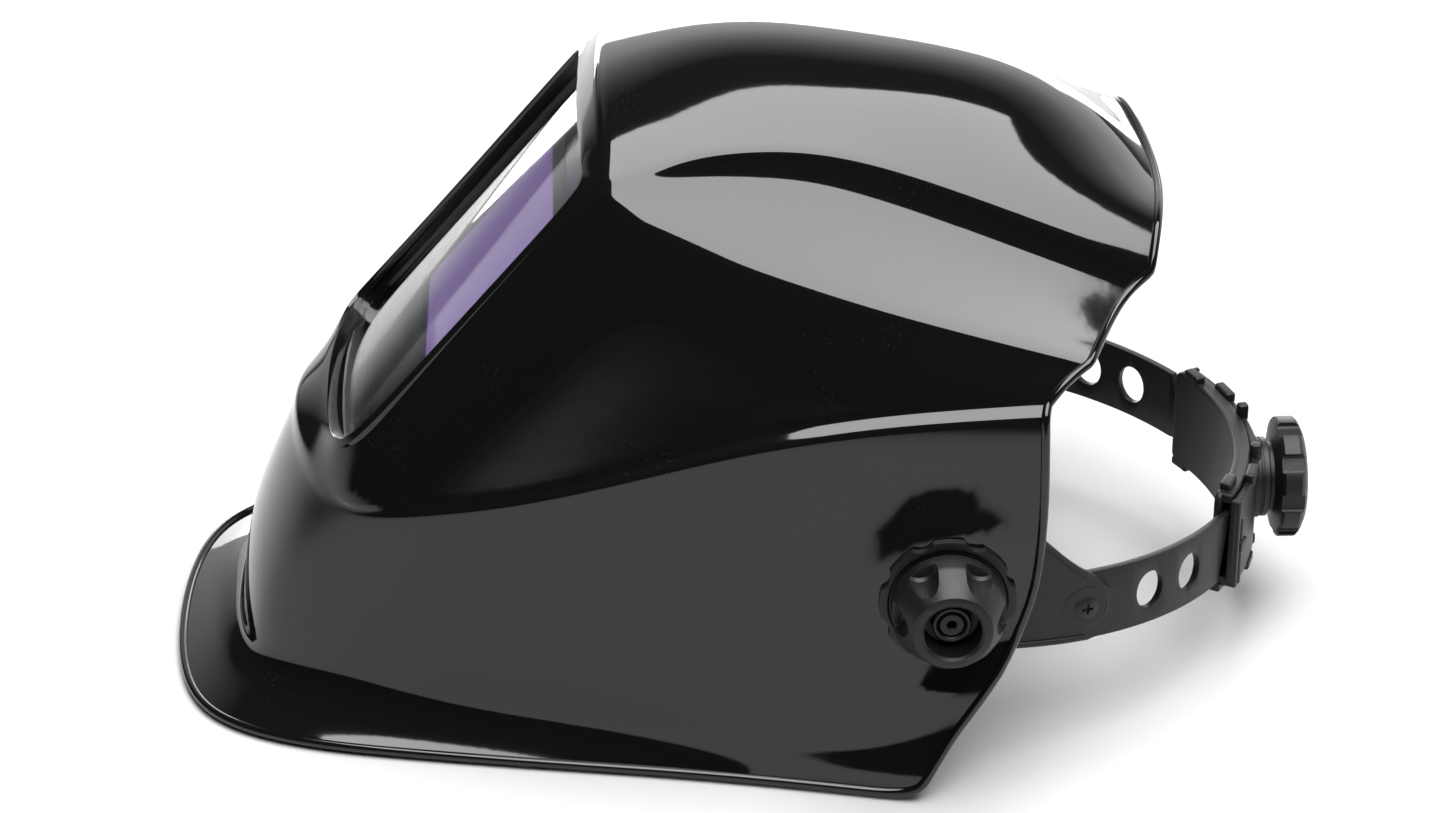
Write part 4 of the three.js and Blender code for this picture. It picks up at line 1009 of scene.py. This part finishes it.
def ratchet_back():
    """The outer cover with doubled end ribs, clips, hooks and the knob's neck."""
    a, b = HOUSING_FROM * DEGREE, HOUSING_TO * DEGREE
    body = plate("back_cover", rounded_outline(a, b, -15, 15, 2.5), 1.5, BACK_OUT)
    round_edges(body, 0.6, 3, 40)
    extras = []
    for end, way in ((a, 1), (b, -1)):
        for k in (0, 1):
            near = end + way * (0.2 + 3.1 * k)
            x0, x1 = sorted((near, near + way * 1.9))
            rib = block("end_rib", x0, x1, 1.4, BACK_OUT + 0.9, -15.4, 15.4 - 8 * k)
            round_edges(rib, 0.6, 3, 40)
            extras.append(rib)
        x0, x1 = sorted((end + way * 2.2, end + way * 7.5))
        clip = block("clip", x0, x1, BACK_OUT - 0.6, BACK_OUT + 1.5, -3.4, 0.4)
        round_edges(clip, 0.6, 3, 40)
        extras.append(clip)
    wide, slim = (9, 17.6), (3.4, 19.4)
    for d, (width, z1) in ((163.5, wide), (172.0, slim), (196.5, wide), (188.0, slim)):
        for sign in (1, -1):
            z_low, z_high = sorted((sign * 13.6, sign * (z1 if sign > 0 else 16.8)))
            x = d * DEGREE
            hook = block("hook", x - width / 2, x + width / 2, 1.2, BACK_OUT + 0.7,
                         z_low, z_high)
            round_edges(hook, 0.9, 3, 40)
            extras.append(hook)
    join(body, *extras)
    bend_round_head(body, 2.6)
    neck = turned("neck", [
        (4.3, 0), (13.2, 0), (13.2, 2.6), (12.9, 2.9), (12.4, 3.0), (12.4, 3.5), (12.8, 3.6),
        (12.8, 5.2), (12.4, 5.5), (4.3, 5.5), (4.3, 0)], 72)
    lo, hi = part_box("ratchet_housing_back")
    set_down(neck, Vector((0, hi[1] - 5.5 * MM, REAR_Z * MM)), (0, 1, 0))
    join(body, neck)
    body.name = "ratchet_back_finish"
    finish_piece(body, "ratchet_carriage", "nylon_black", nylon, "ratchet_housing_back")


def ratchet_knob():
    lo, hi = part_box("ratchet_knob")
    r = 19.5
    length = (hi[1] - lo[1]) / MM
    wheel = length - 11
    body = turned("ratchet_wheel", [
        (0, wheel), (11.2, wheel), (11.2, wheel + 1.2), (13.4, wheel + 1.8), (15.4, wheel + 2.2),
        (r - 1.0, wheel + 2.6), (r, wheel + 3.4), (r, wheel + 8.4), (r - 1.2, wheel + 9.6),
        (r - 4.2, wheel + 11), (10.2, wheel + 11), (9.4, wheel + 10.2), (9.0, wheel + 9.2),
        (0, wheel + 9.2)], 90)
    notch = block("notch", r - 1.9, r + 4, -3.1, 3.1, wheel + 1, length + 2)
    round_edges(notch, 1.2, 3, 40)
    notches = [turn_copy(notch, math.radians(40 * k + 20)) for k in range(9)]
    bpy.data.objects.remove(notch)
    cut(body, *notches)
    round_edges(body, 0.5, 2, 32)
    shaft = turned("shaft", [(0, 0), (3.6, 0), (4.0, 0.4), (4.0, wheel + 2), (0, wheel + 2)], 32)
    hub = turned("hub", [(0, wheel + 9), (4.6, wheel + 9), (4.6, wheel + 10.0), (4.0, wheel + 10.6),
                         (2.2, wheel + 10.6), (1.8, wheel + 10.0), (0, wheel + 9.9)], 36)
    join(body, shaft, hub)
    set_down(body, Vector((0, lo[1], REAR_Z * MM)), (0, 1, 0))
    body.name = "ratchet_knob_finish"
    finish_piece(body, "ratchet_dial", "nylon_black", nylon, "ratchet_knob")


# ---------------------------------------------------------------- window
def cover_plate():
    """The clear outer plate: rounded corners, and bowed slightly across its width."""
    lo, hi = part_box("cover_lens")
    half = (hi[0] - lo[0]) / 2 / MM
    # the plate's own height, from its tilted box
    s, c = math.sin(WINDOW_TILT), math.cos(WINDOW_TILT)
    tall = ((hi[2] - lo[2]) / MM - COVER_THICKNESS * s) / c
    body = plate("cover_plate_body", rounded_outline(-half, half, -tall / 2, tall / 2, 6, 6),
                 -COVER_THICKNESS / 2, COVER_THICKNESS / 2)
    cross_cut(body, 2.5)
    for v in body.data.vertices:
        v.co.y -= ((half * MM) ** 2 - v.co.x ** 2) / (2 * COVER_RADIUS * MM)
    body.rotation_euler = (-WINDOW_TILT, 0, 0)
    body.location = (Vector(lo) + Vector(hi)) / 2
    bake_place(body)
    body.name = "cover_plate_finish"
    finish_piece(body, "helmet", "clear_cover", clear_plastic, "cover_lens")


# ---------------------------------------------------------------- foam sweatband
def sweatband():
    """The band's foam: swelled by cloth pressure, held flat where it lies on the browband."""
    mesh = nodes["sweatband"].data.copy()
    foam_band = bpy.data.objects.new("sweatband_foam", mesh)
    bpy.context.collection.objects.link(foam_band)
    close_up(foam_band)
    remesh = foam_band.modifiers.new("even", "REMESH")
    remesh.mode = "VOXEL"
    remesh.voxel_size = 2.4 * MM
    apply_modifiers(foam_band)
    swell(foam_band)
    for v in foam_band.data.vertices:
        level = band_level(v.co.y / MM)
        angle = math.degrees(math.atan2(v.co.x / MM / LOOP_HALF_WIDTH,
                                        (LOOP_Y - v.co.y / MM) / LOOP_FRONT))
        edge = brow_height(angle) - abs(v.co.z / MM - level - 1)
        ends = 62 - abs(angle)
        seam = min(edge, ends * DEGREE)
        # a sewn channel a few millimetres in from the border, on the forehead side
        inwards = Vector((-v.co.x, PIVOT_Y - v.co.y, 0)).normalized()
        if v.normal.dot(inwards) > 0.3:
            v.co -= inwards * 0.9 * MM * math.exp(-((seam - 4.2) / 1.1) ** 2)
    foam_band.data.update()
    subdivision = foam_band.modifiers.new("round", "SUBSURF")
    subdivision.levels = subdivision.render_levels = 1
    apply_modifiers(foam_band)
    smooth(foam_band, 60)
    set_material(foam_band, foam)
    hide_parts("sweatband")
    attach(foam_band, "headgear")


def swell(pad):
    """Cloth pressure with no gravity; each point's travel is capped, less on the band's side."""
    before = [v.co.copy() for v in pad.data.vertices]
    cloth = pad.modifiers.new("cloth", "CLOTH")
    settings = cloth.settings
    settings.use_pressure = True
    settings.uniform_pressure_force = 4
    settings.effector_weights.gravity = 0
    settings.mass = 0.15
    settings.tension_stiffness = 15
    settings.compression_stiffness = 15
    settings.bending_stiffness = 1.5
    scene = bpy.context.scene
    for step in range(1, 21):
        scene.frame_set(step)
    apply_modifiers(pad)
    scene.frame_set(1)
    for v, start in zip(pad.data.vertices, before):
        travel = v.co - start
        inwards = Vector((-start.x, PIVOT_Y - start.y, 0)).normalized()
        cap = 1.6 * MM if travel.dot(inwards) > 0 else 0.1 * MM
        if travel.length > cap:
            travel = travel.normalized() * cap
        v.co = start + travel
    pad.data.update()


tension_knob()
friction_disc()
pivot_bolt()
side_plate()
rear_straps()
screw()
browband()
ratchet_front()
ratchet_back()
ratchet_knob()
cover_plate()
for side in ("left", "right"):
    softened_copy(f"crown_strap_{side}", "headgear", "nylon_black", 0.5, 3)
    softened_copy(f"brow_rivet_{side}", "headgear", "nylon_black", 0.5, 3)
    softened_copy(f"crown_rivet_{side}", "headgear", "nylon_black", 0.5, 3)
    softened_copy(f"battery_drawer_{side}", f"{side}_drawer", "nylon_black", 0.5)
    softened_copy(f"arc_sensor_{side}", "helmet", "cell_dark", 0.3)
softened_copy("crown_pin", "headgear", "nylon_black", 0.5, 3)
softened_copy("filter_cartridge", "helmet", "nylon_black", 0.6)
for node, body in (("shade_dial", "shade_control"), ("sensitivity_dial", "sensitivity_control"),
                   ("delay_switch", "delay_control"), ("test_button", "test_control")):
    softened_copy(node, body, "control_grey", 0.4)
softened_copy("button_collar", "helmet", "nylon_black", 0.4)
for node in ("bail_top", "bail_bottom"):
    softened_copy(node, "helmet", "bright_steel", 0.3)
sweatband()


# ---------------------------------------------------------------- stage, light and camera
deselect()
bpy.ops.mesh.primitive_plane_add(size=40, location=(0, 0, 0))
floor = bpy.context.object
floor.name = "studio_floor"
floor_material, floor_tree, floor_shader = new_material("pale_floor", (0.52, 0.52, 0.52), 0.9)
floor_shader.inputs["Specular IOR Level"].default_value = 0.0
set_material(floor, floor_material)


def soft_box(name, width, depth, location, target, power):
    light = bpy.data.lights.new(name, "AREA")
    light.shape = "RECTANGLE"
    light.size = width
    light.size_y = depth
    light.energy = power
    lamp = bpy.data.objects.new(name, light)
    lamp.location = location
    direction = Vector(target) - Vector(location)
    lamp.rotation_euler = direction.to_track_quat("-Z", "Y").to_euler()
    bpy.context.collection.objects.link(lamp)
    return lamp


soft_box("overhead_soft_box", 1.83, 1.45, (0.335, 0.22, 1.5), (0.335, 0.22, 0.0), 71)
far_box = soft_box("far_low_soft_box", 0.92, 0.3, (-0.85, 0.04, 0.16), (0.3, 0.04, 0.1), 3.9)
far_box.visible_camera = False


def studio_world():
    """Bright low sky behind the object and dark elsewhere."""
    world = bpy.data.worlds.new("studio")
    bpy.context.scene.world = world
    world.use_nodes = True
    tree = world.node_tree
    background = tree.nodes["Background"]
    coords = add(tree, "ShaderNodeTexCoord")
    parts = add(tree, "ShaderNodeSeparateXYZ")
    tree.links.new(coords.outputs["Generated"], parts.inputs[0])
    behind = add(tree, "ShaderNodeMapRange")
    behind.inputs["From Min"].default_value = 0.15
    behind.inputs["From Max"].default_value = -0.45
    tree.links.new(parts.outputs["X"], behind.inputs["Value"])
    low = add(tree, "ShaderNodeMapRange")
    low.inputs["From Min"].default_value = 0.72
    low.inputs["From Max"].default_value = 0.35
    tree.links.new(parts.outputs["Z"], low.inputs["Value"])
    front = add(tree, "ShaderNodeMapRange")
    front.inputs["From Min"].default_value = -0.62
    front.inputs["From Max"].default_value = -0.3
    tree.links.new(parts.outputs["Y"], front.inputs["Value"])
    glow = math_node(tree, "MULTIPLY", behind.outputs[0], low.outputs[0])
    glow = math_node(tree, "MULTIPLY", glow, front.outputs[0])
    strength = add(tree, "ShaderNodeMapRange")
    strength.inputs["To Min"].default_value = 0.03
    strength.inputs["To Max"].default_value = 1.3
    tree.links.new(glow, strength.inputs["Value"])
    tree.links.new(strength.outputs[0], background.inputs["Strength"])
    background.inputs["Color"].default_value = (1, 1, 1, 1)


studio_world()

ELEVATION = math.radians(28)
TURN = math.radians(2.4)
back = Vector((math.cos(ELEVATION) * math.cos(TURN), -math.cos(ELEVATION) * math.sin(TURN),
               math.sin(ELEVATION)))
camera_data = bpy.data.cameras.new("camera")
camera_data.sensor_width = 36
camera_data.lens = 99.65
camera = bpy.data.objects.new("camera", camera_data)
bpy.context.collection.objects.link(camera)
camera.location = cage_point(0, 0, 71) + back * 1.27
camera.rotation_mode = "QUATERNION"
camera.rotation_quaternion = (-back).to_track_quat("-Z", "Y")
bpy.context.scene.camera = camera
bpy.context.scene.view_settings.view_transform = "Standard"
